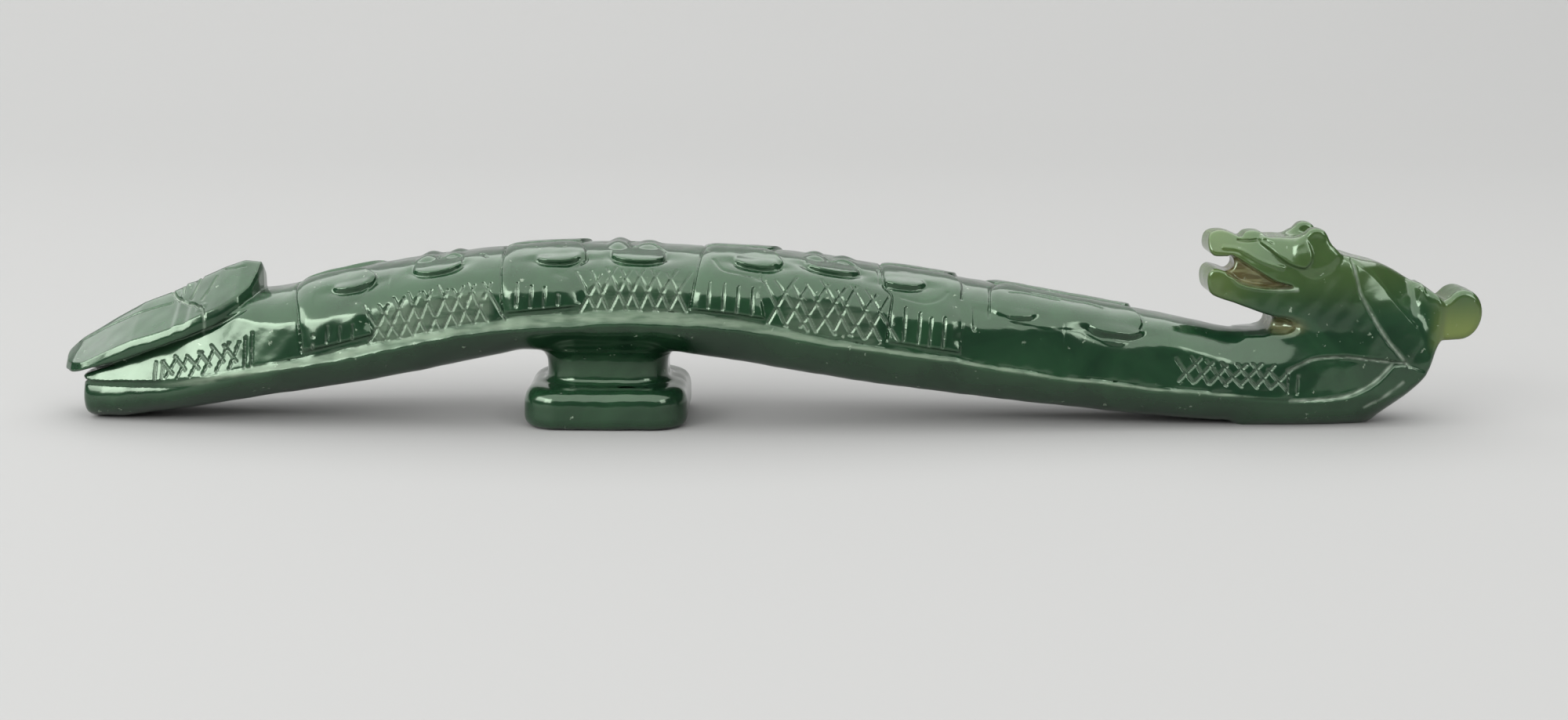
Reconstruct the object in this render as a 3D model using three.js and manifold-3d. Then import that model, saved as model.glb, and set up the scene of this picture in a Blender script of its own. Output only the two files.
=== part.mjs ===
// A belt hook carved from one piece of jade: an arched shank with a flat-billed beast's head at its tail, a button
// on a short stem below, and a bend at the other end that turns back into a small dragon's head, the hook itself.
// Millimetres, +Z up. X runs along the shank from the tail to the bend, and Y = 0 is the plane of symmetry.
// The origin is at the middle of the length, on the surface that the belt hook stands on.
import * as THREE from "three";
import { mergeVertices } from "three/addons/utils/BufferGeometryUtils.js";
import Module from "manifold-3d";

// Lengths along the belt hook, from the tip of the bill to the back of the mane knob
const billOverhang = 2.1; // the bill's tip stands this far past the lower jaw
const tailLength = 19.7; // lower jaw's tip to the end of the tail head
const riseLength = 29.8; // tail head to the top of the arch
const fallLength = 63.3; // top of the arch to the foot of the bend
const bendLength = 15; // foot of the bend to the root of the mane knob
const knobLength = 4.3;
const jawReach = 7; // the dragon's jaws come back this far over the shank
const shankTuck = 1.2; // the shank's rounded form runs this far on into the bend

// Heights of the crown, of the groove along the side and of the underside
const jawCrown = 4.4;
const jawGroove = 3.4;
const jawFloor = 0.5;
const tailCrown = 12.2;
const tailGroove = 5.8;
const tailFloor = 2.75;
const archCrown = 16.6;
const archGroove = 10.8;
const archFloor = 7;
const bendCrown = 8.5;
const bendGroove = 2.95;

// Half widths at the groove, where the stone is widest
const jawHalfWidth = 3.6;
const tailHalfWidth = 7;
const archHalfWidth = 8;
const bendHalfWidth = 5;

// Carving of the shank
const grooveDepth = 0.5;
const grooveWidth = 0.8;
const panelRelief = 0.3; // a raised panel stands this far out of the crosshatched ground
const panelEdge = 0.3; // length of the slope at a panel's ends
const bossRise = 0.4; // an oval boss stands this far out of the dome

// Bill of the tail head
const billLength = 18.8;
const billTipHeight = 5.6;
const billHeight = 14.8; // top of the ears at the back of the bill
const billHalfWidth = 5.5;
const billRidge = 2.2; // the ridge stands this far above the bill's side edges
const billThickness = 1.5;

// Dragon's head
const throatRise = 1.1; // half the opening behind the jaws, above the shank's crown
const headRise = 9.1; // middle of that opening to the tips of the ears
const headHalfWidth = 4;

// Mane knob
const knobHeight = 5;
const knobFloor = 7.9;
const knobHalfWidth = 2.6;
const knobEdge = 0.7; // round edge at its two sides
const knobTuck = 1.4; // the full round runs this far on into the bend

// Stem and button
const stemLength = 11.4;
const stemWidth = 9;
const stemCorner = 2.6;
const stemFlare = 0.5; // it widens this much at its top and foot
const bossHeight = 0.6; // flat foot under the shank, which the stem meets
const buttonLength = 15.3;
const buttonWidth = 15.2;
const buttonCorner = 3.4;
const buttonHeight = 3.8;
const buttonEdge = 1.3; // how far its rounded edge draws in
const buttonOffset = 0.05; // its middle lies this far past the top of the arch

// How finely the round forms are faceted
const domeSteps = 8;
const bossSides = 10;
const cornerSteps = 5;
const jawStep = 1.2;
const shankStep = 2.4;
const bendStep = 1.5;

const overrun = 5; // every cutter and rough block runs this far past the stone

// Places along X, counted from the tip of the bill
const jawTip = billOverhang;
const tailEnd = jawTip + tailLength;
const archTop = tailEnd + riseLength;
const bendFoot = archTop + fallLength;
const knobRoot = bendFoot + bendLength;
const hookStart = bendFoot - jawReach;
const hookLength = knobRoot - hookStart;
const totalLength = knobRoot + knobLength;

// The neck of the hook is told apart from the shank before the tip of the jaws, and from the head at the throat
const neckStart = hookStart - jawReach / 2;
const throatLevel = bendCrown + throatRise;

// Curves along the stone: share of the stretch's length, share of the way from its first value to its last
const jawCrownShares = [[0, 0], [0.25, 0.34], [0.53, 0.62], [0.82, 0.91], [0.92, 0.97], [1, 1]];
const jawGrooveShares = [[0, -0.3], [0.05, 0], [0.14, 0.08], [0.45, 0.17], [0.64, 0.38], [0.88, 0.88], [1, 1]];
const jawFloorShares = [[0, 0.4], [0.05, 0.04], [0.11, -0.18], [0.19, -0.13], [0.5, 0.22], [0.88, 0.89], [1, 1]];
const jawWidthShares = [[0, -0.35], [0.04, 0.05], [0.12, 0.22], [0.3, 0.46], [0.55, 0.7], [0.8, 0.88], [1, 1]];
const riseCrownShares = [[0, 0], [0.05, 0.16], [0.27, 0.52], [0.62, 0.87], [0.8, 0.97], [1, 1]];
const riseGrooveShares = [[0, 0], [0.24, 0.28], [0.46, 0.6], [0.71, 0.88], [1, 1]];
const riseFloorShares = [[0, 0], [0.22, 0.22], [0.43, 0.53], [0.61, 0.79], [0.79, 0.95], [1, 1]];
const riseWidthShares = [[0, 0], [0.4, 0.6], [1, 1]];
const fallCrownShares = [
  [0, 0], [0.14, 0.025], [0.29, 0.11], [0.41, 0.235], [0.57, 0.43], [0.72, 0.65], [0.83, 0.815], [0.93, 0.96], [1, 1],
];
const fallGrooveShares = [
  [0, 0], [0.14, 0.064], [0.26, 0.18], [0.38, 0.37], [0.51, 0.5], [0.66, 0.745], [0.81, 0.9], [0.91, 0.945], [1, 1],
];
const fallFloorShares = [
  [0, 0], [0.11, 0.043], [0.2, 0.13], [0.29, 0.3], [0.44, 0.5], [0.59, 0.66], [0.73, 0.8], [0.9, 0.955], [1, 1],
];
const fallWidthShares = [[0, 0], [0.17, 0], [0.41, 0.1], [0.57, 0.3], [0.72, 0.57], [0.88, 0.83], [1, 1]];

// First and last end of each raised panel, as shares of the length from the tail head to the foot of the bend
const panelShares = [[0.007, 0.085], [0.212, 0.294], [0.409, 0.5], [0.602, 0.682], [0.711, 0.867]];

// Section of the shank below the groove: the belt leans in to this share of the half width at the underside
const undersideShare = 0.56;
const domeShare = 0.86; // power of the dome, where 1 would be a plain half ellipse
const domeInsetShare = 0.5; // the dome's foot stands in behind the belt by this share of the groove's depth

// Oval bosses on both sides: share of the length from the tail head to the foot of the bend, share of the way from
// the groove to the crown, then half the length and half the height as shares of the arch's half width
const bossShares = [
  [0.069, 0.649, 0.22, 0.12], [0.154, 0.766, 0.29, 0.22], [0.276, 0.642, 0.26, 0.13], [0.34, 0.795, 0.2, 0.25],
  [0.37, 0.694, 0.19, 0.2], [0.472, 0.677, 0.26, 0.15], [0.547, 0.775, 0.3, 0.17], [0.62, 0.67, 0.24, 0.145],
  [0.729, 0.486, 0.25, 0.12], [0.832, 0.485, 0.31, 0.145],
];
const bossTopShare = 0.8; // a boss is this much smaller at its flat top than where it leaves the dome
const bossFootShare = 1.4; // and this much larger at its foot inside the stone
const bossSlopeShare = 0.02; // the dome's slope under a boss is read this far to either side

// The bill: share of its length, then share of the height, of the ridge and of the half width
const billRidgeShares = [
  [0, 0], [0.027, 0.076], [0.186, 0.293], [0.4, 0.543], [0.543, 0.663], [0.66, 0.783], [0.81, 0.935], [0.915, 1],
  [0.963, 0.87], [1, 0.72],
];
const billDropShares = [[0, 0.12], [0.12, 0.75], [0.45, 1], [0.8, 1.25], [0.93, 1.05], [1, 0.3]];
const billWidthShares = [[0, 0.36], [0.03, 0.6], [0.12, 0.82], [0.4, 0.94], [0.85, 1], [1, 0.86]];
const billSteps = 16;
const billInnerShare = 0.72; // under the bill, the stone draws in to this share of its half width

// Side view of the bend and the dragon's head: share of the length from the jaw's tip to the mane knob, then
// share of the height up to the throat, and for the head share of the height above it
const throatEndShare = 0.268;
const bendShares = [
  [throatEndShare, 0], [0.514, 0], [0.636, 0.052], [0.732, 0.135], [0.841, 0.323], [0.932, 0.552], [0.973, 0.75],
  [1, 0.812],
];
const headShares = [
  [1, 0.297], [0.955, 0.374], [0.895, 0.473], [0.805, 0.582], [0.727, 0.659], [0.655, 0.692], [0.577, 0.714],
  [0.55, 0.802], [0.518, 0.945], [0.491, 0.989], [0.459, 0.989], [0.434, 0.945], [0.386, 1], [0.35, 0.978],
  [0.323, 0.901], [0.273, 0.929], [0.205, 0.945], [0.132, 0.912], [0.095, 0.951], [0.045, 0.956], [0.018, 0.923],
  [0, 0.824], [0.032, 0.736], [0.118, 0.692], [0.127, 0.615], [0.1, 0.538], [0.041, 0.582], [0.009, 0.549],
  [0, 0.44], [0.023, 0.319], [0.132, 0.22], [0.25, 0.11], [throatEndShare, 0.044],
];

// Rough blocks of the bend and the head: share of that length, then share of the half width or of the height
const bendWidthShares = [[0.2, 1.02], [0.318, 1], [0.66, 0.88], [0.93, 0.7], [1, 0.6]];
const bendFloorShares = [[0.514, 0], [0.636, 0.052], [0.732, 0.135], [0.841, 0.323], [0.932, 0.552], [1, 0.8]];
const bendSectionShares = [[undersideShare, 0], [0.86, 0.12], [1, 0.31], [0.97, 0.6], [0.78, 1]];
const headWidthShares = [[0, 0.6], [0.08, 0.72], [0.3, 0.9], [0.5, 1], [0.7, 0.98], [0.9, 0.84], [1, 0.74]];
const headTopShares = [[0, 1], [0.55, 1], [0.66, 0.78], [0.805, 0.64], [0.955, 0.44], [1, 0.36]];
const headSectionShares = [[1, 0], [1, 0.4], [0.92, 0.68], [0.72, 0.88], [0.42, 1]];

// The button's edge: share of how far it draws in, then share of its height
const buttonEdgeShares = [[1, 0], [0.36, 0.1], [0, 0.3], [0, 0.68], [0.36, 0.89], [1, 1]];

const wasm = await Module();
wasm.setup();

/**
 * Reads a smooth curve through hand-chosen points.
 * @param {number[][]} points - pairs of place and value, in rising order of place.
 * @param {number} at - the place to read.
 * @returns {number} the value there, level past both ends.
 */
function curveAt(points, at) {
  const last = points.length - 1;
  if (at <= points[0][0]) return points[0][1];
  if (at >= points[last][0]) return points[last][1];
  const slopeAt = (index) => {
    const before = points[Math.max(index - 1, 0)];
    const after = points[Math.min(index + 1, last)];
    return (after[1] - before[1]) / (after[0] - before[0]);
  };
  const index = points.findIndex((point) => point[0] > at) - 1;
  const span = points[index + 1][0] - points[index][0];
  const rise = points[index + 1][1] - points[index][1];
  const share = (at - points[index][0]) / span;
  const lead = (1 - share) * (slopeAt(index) * span - rise);
  const trail = share * (rise - slopeAt(index + 1) * span);
  return points[index][1] + share * rise + share * (1 - share) * (lead + trail);
}

/** Places from one to another, in even steps no longer than the given one. */
function placesBetween(from, to, step) {
  const count = Math.max(1, Math.ceil(Math.abs(to - from) / step));
  return Array.from({ length: count + 1 }, (_, index) => from + ((to - from) * index) / count);
}

/** A smooth value along a stretch of stone that starts and ends at the given places and values. */
function stretchValue(shares, at, from, to, first, last) {
  return first + (last - first) * curveAt(shares, (at - from) / (to - from));
}

/** How far the crown stands out at a place along the shank, where a raised panel may lie. */
function panelReliefAt(at) {
  const span = bendFoot - tailEnd;
  const inside = panelShares.map(([from, to]) => {
    const reach = Math.min(at - (tailEnd + from * span), tailEnd + to * span - at);
    return THREE.MathUtils.clamp(reach / panelEdge, 0, 1);
  });
  return panelRelief * Math.max(...inside);
}

/**
 * The shank's measures at a place along it.
 * @param {number} at - distance from the tip of the bill.
 * @returns {{crown: number, groove: number, floor: number, half: number}} heights, and half the width at the groove.
 */
function measuresAt(at) {
  if (at <= tailEnd) {
    const along = (shares, first, last) => stretchValue(shares, at, jawTip, tailEnd, first, last);
    return {
      crown: along(jawCrownShares, jawCrown, tailCrown),
      groove: along(jawGrooveShares, jawGroove, tailGroove),
      floor: along(jawFloorShares, jawFloor, tailFloor),
      half: along(jawWidthShares, jawHalfWidth, tailHalfWidth),
    };
  }
  if (at <= archTop) {
    const along = (shares, first, last) => stretchValue(shares, at, tailEnd, archTop, first, last);
    return {
      crown: along(riseCrownShares, tailCrown, archCrown),
      groove: along(riseGrooveShares, tailGroove, archGroove),
      floor: along(riseFloorShares, tailFloor, archFloor),
      half: along(riseWidthShares, tailHalfWidth, archHalfWidth),
    };
  }
  const along = (shares, first, last) => stretchValue(shares, at, archTop, bendFoot, first, last);
  return {
    crown: along(fallCrownShares, archCrown, bendCrown),
    groove: along(fallGrooveShares, archGroove, bendGroove),
    floor: along(fallFloorShares, archFloor, 0),
    half: along(fallWidthShares, archHalfWidth, bendHalfWidth),
  };
}

/** Half the height of the side groove at a place along the shank. */
function grooveLipAt(at) {
  const { groove, floor } = measuresAt(at);
  return Math.min(grooveWidth, groove - floor) / 2;
}

/** A point of the shank's dome, in [out, up], at a share of the way from its foot to its crown. */
function domePoint(at, share) {
  const { crown, groove, half } = measuresAt(at);
  const relief = panelReliefAt(at);
  const foot = groove + grooveLipAt(at);
  const turn = share * (Math.PI / 2);
  const out = (half - grooveDepth * domeInsetShare + relief) * Math.cos(turn) ** domeShare;
  return [out, foot + (crown + relief - foot) * Math.sin(turn) ** domeShare];
}

/**
 * The shank's section at a place along it: a dome above the side groove, and a belt that leans in below it.
 * @param {number} at - distance from the tip of the bill.
 * @returns {THREE.Vector3[]} a closed ring of points, from the underside up one side and down the other.
 */
function shankRing(at) {
  const { crown, groove, floor, half } = measuresAt(at);
  const side = [[half * undersideShare, floor], [half, groove - grooveLipAt(at)], [half - grooveDepth, groove]];
  for (let step = 0; step < domeSteps; step += 1) side.push(domePoint(at, step / domeSteps));
  return mirroredRing(at, side, crown + panelReliefAt(at));
}

/** A ring of points at a place along X, from one side's points in [out, up] and the height of its top. */
function mirroredRing(at, side, top) {
  const near = side.map(([out, up]) => new THREE.Vector3(at, -out, up));
  const far = side.map(([out, up]) => new THREE.Vector3(at, out, up)).reverse();
  return [...near, new THREE.Vector3(at, 0, top), ...far];
}

/**
 * Skins a row of rings, each with as many points, and closes both ends.
 * @param {THREE.Vector3[][]} rings - the rings, in order along the form.
 * @returns {wasm.Manifold} the closed solid.
 */
function skinned(rings) {
  const count = rings[0].length;
  const middles = [rings[0], rings[rings.length - 1]].map((ring) =>
    ring.reduce((sum, point) => sum.add(point), new THREE.Vector3()).divideScalar(count),
  );
  const points = [...rings.flat(), ...middles];
  const faces = [];
  for (let ring = 0; ring < rings.length - 1; ring += 1) {
    for (let point = 0; point < count; point += 1) {
      const here = ring * count + point;
      const next = ring * count + ((point + 1) % count);
      faces.push(here, here + count, next, next, here + count, next + count);
    }
  }
  const lastRing = (rings.length - 1) * count;
  for (let point = 0; point < count; point += 1) {
    const next = (point + 1) % count;
    faces.push(rings.length * count, point, next);
    faces.push(rings.length * count + 1, lastRing + next, lastRing + point);
  }
  const geometry = new THREE.BufferGeometry().setFromPoints(points).setIndex(faces);
  return solidOf(geometry);
}

/** A closed solid from a geometry whose faces may point either way. */
function solidOf(geometry) {
  geometry.deleteAttribute("normal");
  geometry.deleteAttribute("uv");
  const merged = mergeVertices(geometry);
  const vertices = new Float32Array(merged.attributes.position.array);
  const faces = new Uint32Array(merged.index.array);
  if (enclosedVolume(vertices, faces) < 0) faces.reverse();
  return new wasm.Manifold(new wasm.Mesh({ numProp: 3, vertProperties: vertices, triVerts: faces }));
}

/** Volume inside the faces, negative where they point inwards. */
function enclosedVolume(vertices, faces) {
  const corner = (index) => new THREE.Vector3().fromArray(vertices, faces[index] * 3);
  let volume = 0;
  for (let index = 0; index < faces.length; index += 3) {
    volume += corner(index).dot(corner(index + 1).cross(corner(index + 2))) / 6;
  }
  return volume;
}

/** A rough block between two corners. */
function block(low, high) {
  const size = new THREE.Vector3().subVectors(high, low);
  const middle = new THREE.Vector3().addVectors(low, high).divideScalar(2);
  const geometry = new THREE.BoxGeometry(size.x, size.y, size.z);
  return solidOf(geometry.translate(middle.x, middle.y, middle.z));
}

/** The space past a range of X and Z, as wide as the stone, that picks one member out of it. */
function slab(fromX, toX, fromZ, toZ) {
  const reach = archHalfWidth + overrun;
  return block(new THREE.Vector3(fromX, -reach, fromZ), new THREE.Vector3(toX, reach, toZ));
}

/** A side view, in X and Z, made as wide as twice the given half width. */
function sideExtrusion(points, half, options) {
  const shape = new THREE.Shape(points.map(([x, z]) => new THREE.Vector2(x, z)));
  const geometry = new THREE.ExtrudeGeometry(shape, { depth: half * 2, bevelEnabled: false, ...options });
  return solidOf(geometry.translate(0, 0, -half).rotateX(Math.PI / 2));
}

/** Corners of a rounded rectangle round the button's middle, drawn in by an inset. */
function roundedRing(length, width, corner, inset, height) {
  const middle = archTop + buttonOffset;
  const radius = corner - inset;
  const ring = [];
  [[1, 1], [-1, 1], [-1, -1], [1, -1]].forEach(([signX, signY], quarter) => {
    for (let step = 0; step <= cornerSteps; step += 1) {
      const turn = (quarter + step / cornerSteps) * (Math.PI / 2);
      const x = middle + signX * (length / 2 - corner) + radius * Math.cos(turn);
      const y = signY * (width / 2 - corner) + radius * Math.sin(turn);
      ring.push(new THREE.Vector3(x, y, height));
    }
  });
  return ring;
}

/** The arched shank from the lower jaw into the bend, with its side groove and raised panels. */
function arch() {
  const span = bendFoot - tailEnd;
  const edges = panelShares.flatMap(([from, to]) => {
    const start = tailEnd + from * span;
    const end = tailEnd + to * span;
    return [start, start + panelEdge, end - panelEdge, end];
  });
  const breaks = [jawTip, tailEnd, archTop, bendFoot, bendFoot + shankTuck, ...edges].sort((a, b) => a - b);
  const places = breaks.slice(1).flatMap((to, index) => {
    const step = to <= tailEnd ? jawStep : shankStep;
    return placesBetween(breaks[index], to, step).slice(1);
  });
  return skinned([jawTip, ...places].map(shankRing));
}

/** The oval bosses on both sides of the shank: low cut-off cones that stand out of the dome. */
function bosses() {
  const solids = bossShares.flatMap(([along, around, longShare, highShare]) => {
    const at = tailEnd + (bendFoot - tailEnd) * along;
    const below = domePoint(at, around - bossSlopeShare);
    const above = domePoint(at, around + bossSlopeShare);
    const lean = Math.atan2(below[0] - above[0], above[1] - below[1]);
    const [out, up] = domePoint(at, around);
    return [[1, lean], [-1, Math.PI - lean]].map(([side, turn]) => {
      const cone = new THREE.CylinderGeometry(bossTopShare, bossFootShare, bossRise * 3, bossSides);
      cone.translate(0, -bossRise / 2, 0).scale(archHalfWidth * longShare, 1, archHalfWidth * highShare);
      return solidOf(cone.rotateX(turn).translate(at, side * out, up));
    });
  });
  return solids.reduce((joined, solid) => joined.add(solid));
}

/** The beast's bill over the lower jaw: a ridged plate that ends in two ears at the back. */
function bill() {
  const rings = Array.from({ length: billSteps + 1 }, (_, step) => {
    const share = step / billSteps;
    const at = share * billLength;
    const ridge = billTipHeight + (billHeight - billTipHeight) * curveAt(billRidgeShares, share);
    const edge = ridge - billRidge * curveAt(billDropShares, share);
    const half = billHalfWidth * curveAt(billWidthShares, share);
    const under = edge - billThickness;
    const side = [[half * billInnerShare, under], [half, edge - billThickness / 2], [half, edge]];
    return mirroredRing(at, side, ridge);
  });
  return skinned(rings);
}

/** The side view of the bend and the dragon's head in real sizes. */
function hookOutline() {
  const bend = bendShares.map(([along, up]) => [hookStart + along * hookLength, up * throatLevel]);
  const head = headShares.map(([along, up]) => [hookStart + along * hookLength, throatLevel + up * headRise]);
  return [...bend, ...head];
}

/** The rounded block that the bend is cut from, up to the throat. */
function bendBlock() {
  const places = placesBetween(hookStart + throatEndShare * hookLength, knobRoot, bendStep);
  const rings = places.map((at) => {
    const share = (at - hookStart) / hookLength;
    const floor = throatLevel * curveAt(bendFloorShares, share);
    const half = bendHalfWidth * curveAt(bendWidthShares, share);
    const side = bendSectionShares.map(([out, up]) => [half * out, floor + (throatLevel - floor) * up]);
    return mirroredRing(at, side, throatLevel);
  });
  return skinned(rings);
}

/** The rounded block that the dragon's head is cut from, above the throat. */
function headBlock() {
  const rings = placesBetween(hookStart, knobRoot, bendStep).map((at) => {
    const share = (at - hookStart) / hookLength;
    const rise = headRise * curveAt(headTopShares, share);
    const half = headHalfWidth * curveAt(headWidthShares, share);
    const side = headSectionShares.map(([out, up]) => [half * out, throatLevel + rise * up]);
    return mirroredRing(at, side, throatLevel + rise);
  });
  return skinned(rings);
}

/** The end of the mane, curled into a round knob behind the bend. */
function maneKnob() {
  const start = knobRoot - knobTuck;
  const reach = knobTuck + knobLength - knobEdge;
  const middle = knobFloor + knobHeight / 2;
  const round = Math.min(knobHeight / 2, reach) - knobEdge;
  const shape = new THREE.Shape();
  shape.moveTo(start, middle - round);
  shape.lineTo(start + reach - round, middle - round);
  shape.absarc(start + reach - round, middle, round, -Math.PI / 2, Math.PI / 2, false);
  shape.lineTo(start, middle + round);
  const depth = (knobHalfWidth - knobEdge) * 2;
  const bevel = { bevelEnabled: true, bevelSize: knobEdge, bevelThickness: knobEdge, bevelSegments: cornerSteps };
  const geometry = new THREE.ExtrudeGeometry(shape, { depth, curveSegments: cornerSteps * 3, ...bevel });
  const solid = solidOf(geometry.translate(0, 0, -depth / 2).rotateX(Math.PI / 2));
  return solid.intersect(slab(knobRoot, totalLength + overrun, 0, throatLevel + headRise));
}

/** The flat foot under the shank that the stem meets, flaring into the underside. */
function stemBoss() {
  const foot = archFloor - bossHeight;
  const grown = stemFlare * 2;
  const rings = [
    roundedRing(stemLength + grown, stemWidth + grown, stemCorner + stemFlare, 0, foot),
    roundedRing(stemLength + grown * 2, stemWidth + grown * 2, stemCorner + grown, 0, archFloor + bossHeight),
  ];
  return skinned(rings);
}

/** The stem between the button and the shank, drawn in at its waist. */
function stem() {
  const foot = buttonHeight;
  const top = archFloor - bossHeight;
  const grown = stemFlare * 2;
  const wide = (height) =>
    roundedRing(stemLength + grown, stemWidth + grown, stemCorner + stemFlare, 0, height);
  const waist = (height) => roundedRing(stemLength, stemWidth, stemCorner, 0, height);
  const third = (top - foot) / 3;
  return skinned([wide(foot), waist(foot + third), waist(top - third), wide(top)]);
}

/** The button that passes through the belt, a rounded square with a soft edge. */
function button() {
  const rings = buttonEdgeShares.map(([inset, up]) =>
    roundedRing(buttonLength, buttonWidth, buttonCorner, inset * buttonEdge, up * buttonHeight),
  );
  return skinned(rings);
}

/** A named mesh of a solid, moved so that the middle of the whole length is at X = 0. */
function member(name, solid, color) {
  const { numProp, vertProperties, triVerts } = solid.getMesh();
  const geometry = new THREE.BufferGeometry();
  geometry.setAttribute("position", new THREE.BufferAttribute(new Float32Array(vertProperties), numProp));
  geometry.setIndex(new THREE.BufferAttribute(new Uint32Array(triVerts), 1));
  geometry.computeVertexNormals();
  const finish = new THREE.MeshStandardMaterial({ color, roughness: 0.28, metalness: 0 });
  const mesh = new THREE.Mesh(geometry, finish);
  mesh.name = name;
  mesh.position.x = -totalLength / 2;
  return mesh;
}

const spinachGreen = 0x2c4a33;
const paleGreen = 0x5f7a43;

const roof = Math.max(archCrown, throatLevel + headRise) + overrun;
const outline = sideExtrusion(hookOutline(), archHalfWidth, {});
const shankStone = arch();
const carvedShank = shankStone.add(stemBoss()).add(bosses());
const neckStone = shankStone.add(bendBlock().intersect(outline));

const hook = new THREE.Group();
hook.add(
  member("tail_head", shankStone.add(bill()).intersect(slab(-overrun, tailEnd, -overrun, roof)), spinachGreen),
  member("shank", carvedShank.intersect(slab(tailEnd, neckStart, -overrun, roof)), spinachGreen),
  member("stem", stem(), spinachGreen),
  member("button", button(), spinachGreen),
  member("hook_neck", neckStone.intersect(slab(neckStart, knobRoot, -overrun, roof)), spinachGreen),
  member("dragon_head", headBlock().intersect(outline), paleGreen),
  member("mane_knob", maneKnob(), paleGreen),
);

export default hook;
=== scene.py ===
"""Jade belt hook: its looks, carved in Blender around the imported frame.

The real thing is one piece of green nephrite. One signed distance describes the whole stone, so that the
members of the frame meet without a step, and the carved skin is then parted on the frame's own planes.
Lengths are in millimetres until a mesh is made, which is in metres.
"""

import logging
import math
from dataclasses import asdict, dataclass, field, fields, replace
from enum import Enum
from functools import cached_property

import bpy
import numpy as np
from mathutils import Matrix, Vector

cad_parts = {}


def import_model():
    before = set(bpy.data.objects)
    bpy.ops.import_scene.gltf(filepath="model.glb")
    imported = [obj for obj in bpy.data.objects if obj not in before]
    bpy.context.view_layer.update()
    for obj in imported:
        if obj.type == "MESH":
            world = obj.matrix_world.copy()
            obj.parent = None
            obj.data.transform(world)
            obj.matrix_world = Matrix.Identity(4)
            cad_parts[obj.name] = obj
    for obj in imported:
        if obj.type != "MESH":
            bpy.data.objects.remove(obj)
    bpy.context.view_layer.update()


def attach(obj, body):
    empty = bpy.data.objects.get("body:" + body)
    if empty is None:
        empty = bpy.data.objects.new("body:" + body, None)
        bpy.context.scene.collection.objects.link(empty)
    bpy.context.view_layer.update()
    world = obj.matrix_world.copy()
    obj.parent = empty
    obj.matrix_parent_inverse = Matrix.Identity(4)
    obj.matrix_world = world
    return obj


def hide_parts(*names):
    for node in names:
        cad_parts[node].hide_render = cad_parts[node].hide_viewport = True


Array = np.ndarray
Pair = tuple[float, float]
Triple = tuple[float, float, float]
Points = tuple[Pair, ...]
Window = tuple[slice, slice]
# The window that takes in a whole map.
WHOLE: Window = (slice(None), slice(None))
# Number of the first of the pieces into which the shank is parted.
FIRST_SHANK = 10
# Size, paces along X, Y and Z, and start of each wave in a surface worked by hand.
WAVES = ((0.34, 0.93, 0.41, 0.8, 0.6), (0.28, -1.71, 0.83, 0.52, 2.1), (0.22, 0.57, -1.9, 1.23, 4.4),
         (0.16, 2.9, 1.4, -2.2, 1.3))
LOG = logging.getLogger("belt_hook")
# Metres in a millimetre.
MM = 0.001


def fade(share: Array) -> Array:
    """Eases from 0 to 1 as share goes from 0 to 1."""
    t = np.clip(share, 0.0, 1.0)
    return t * t * (3.0 - 2.0 * t)


def ease(value: Array, start: float, span: float) -> Array:
    """Eases from 0 at start to 1 one span further on, which lies lower where span is negative."""
    return fade((value - start) / span)


def bell(width: float, step: float) -> Array:
    """The weights of a blur over a width: an odd number of steps, at least three, that add up to 1."""
    weights = np.hanning(max(3, int(width / step) | 1) + 2)[1:-1]
    return weights / weights.sum()


def join(a: Array, b: Array, blend: Array | float) -> Array:
    """Joins two solids, given as distances, with a fillet about as wide as blend."""
    share = np.clip(0.5 + 0.5 * (b - a) / blend, 0.0, 1.0)
    return b + share * (a - b) - blend * share * (1.0 - share)


def overlap(a: Array, b: Array, blend: Array | float) -> Array:
    """Keeps what two solids share, with the edge between them rounded over blend."""
    return -join(-a, -b, blend)


def cut(a: Array, b: Array, blend: Array | float) -> Array:
    """Takes solid b out of solid a, with the edge of the cut rounded over blend."""
    return overlap(a, -b, blend)


def wander(x: Array, y: Array, z: Array) -> Array:
    """The slow unevenness of a surface ground and polished by hand, about -1 to 1."""
    return sum(size * np.sin(a * x + b * y + c * z + start) for size, a, b, c, start in WAVES)


def smooth(points: Points, closed: bool = False, parts: int = 5) -> Points:
    """Draws a smooth curve through some points.

    Args:
        points: The points, in order.
        closed: Whether the curve returns to its start.
        parts: Pieces between two points.

    Returns:
        The points of the curve.
    """
    knots = np.array(points, float)
    ring = np.vstack([knots[-1:], knots, knots[:2]]) if closed else np.vstack([knots[:1], knots, knots[-1:]])
    steps = np.linspace(0.0, 1.0, parts, endpoint=False)[:, None]
    drawn = []
    for a, b, c, d in zip(ring[:-3], ring[1:-2], ring[2:-1], ring[3:]):
        bend = 2 * a - 5 * b + 4 * c - d
        twist = 3 * b - a - 3 * c + d
        drawn.append(b + 0.5 * steps * ((c - a) + steps * (bend + steps * twist)))
    if not closed:
        drawn.append(knots[-1:])
    return tuple((float(u), float(v)) for u, v in np.vstack(drawn))


@dataclass(frozen=True)
class Profile:
    """A level or a width along the belt hook, drawn through measured points.

    Attributes:
        points: Place along X and value there.
        blend: Length over which a corner of the line is rounded.
    """

    STEP = 0.05
    REACH = 76.0

    points: Points
    blend: float = 2.0

    @cached_property
    def table(self) -> tuple[Array, Array]:
        """The smoothed line at small steps along X.

        Returns:
            Places along X, and the value at each.
        """
        places = np.arange(-self.REACH, self.REACH, self.STEP)
        knots = np.array(self.points)
        values = np.interp(places, knots[:, 0], knots[:, 1])
        weights = bell(self.blend, self.STEP)
        padded = np.pad(values, len(weights) // 2, mode="edge")
        return places, np.convolve(padded, weights, mode="valid")

    def at(self, x: Array) -> Array:
        """The value at each place along X."""
        return np.interp(x, *self.table)


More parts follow.
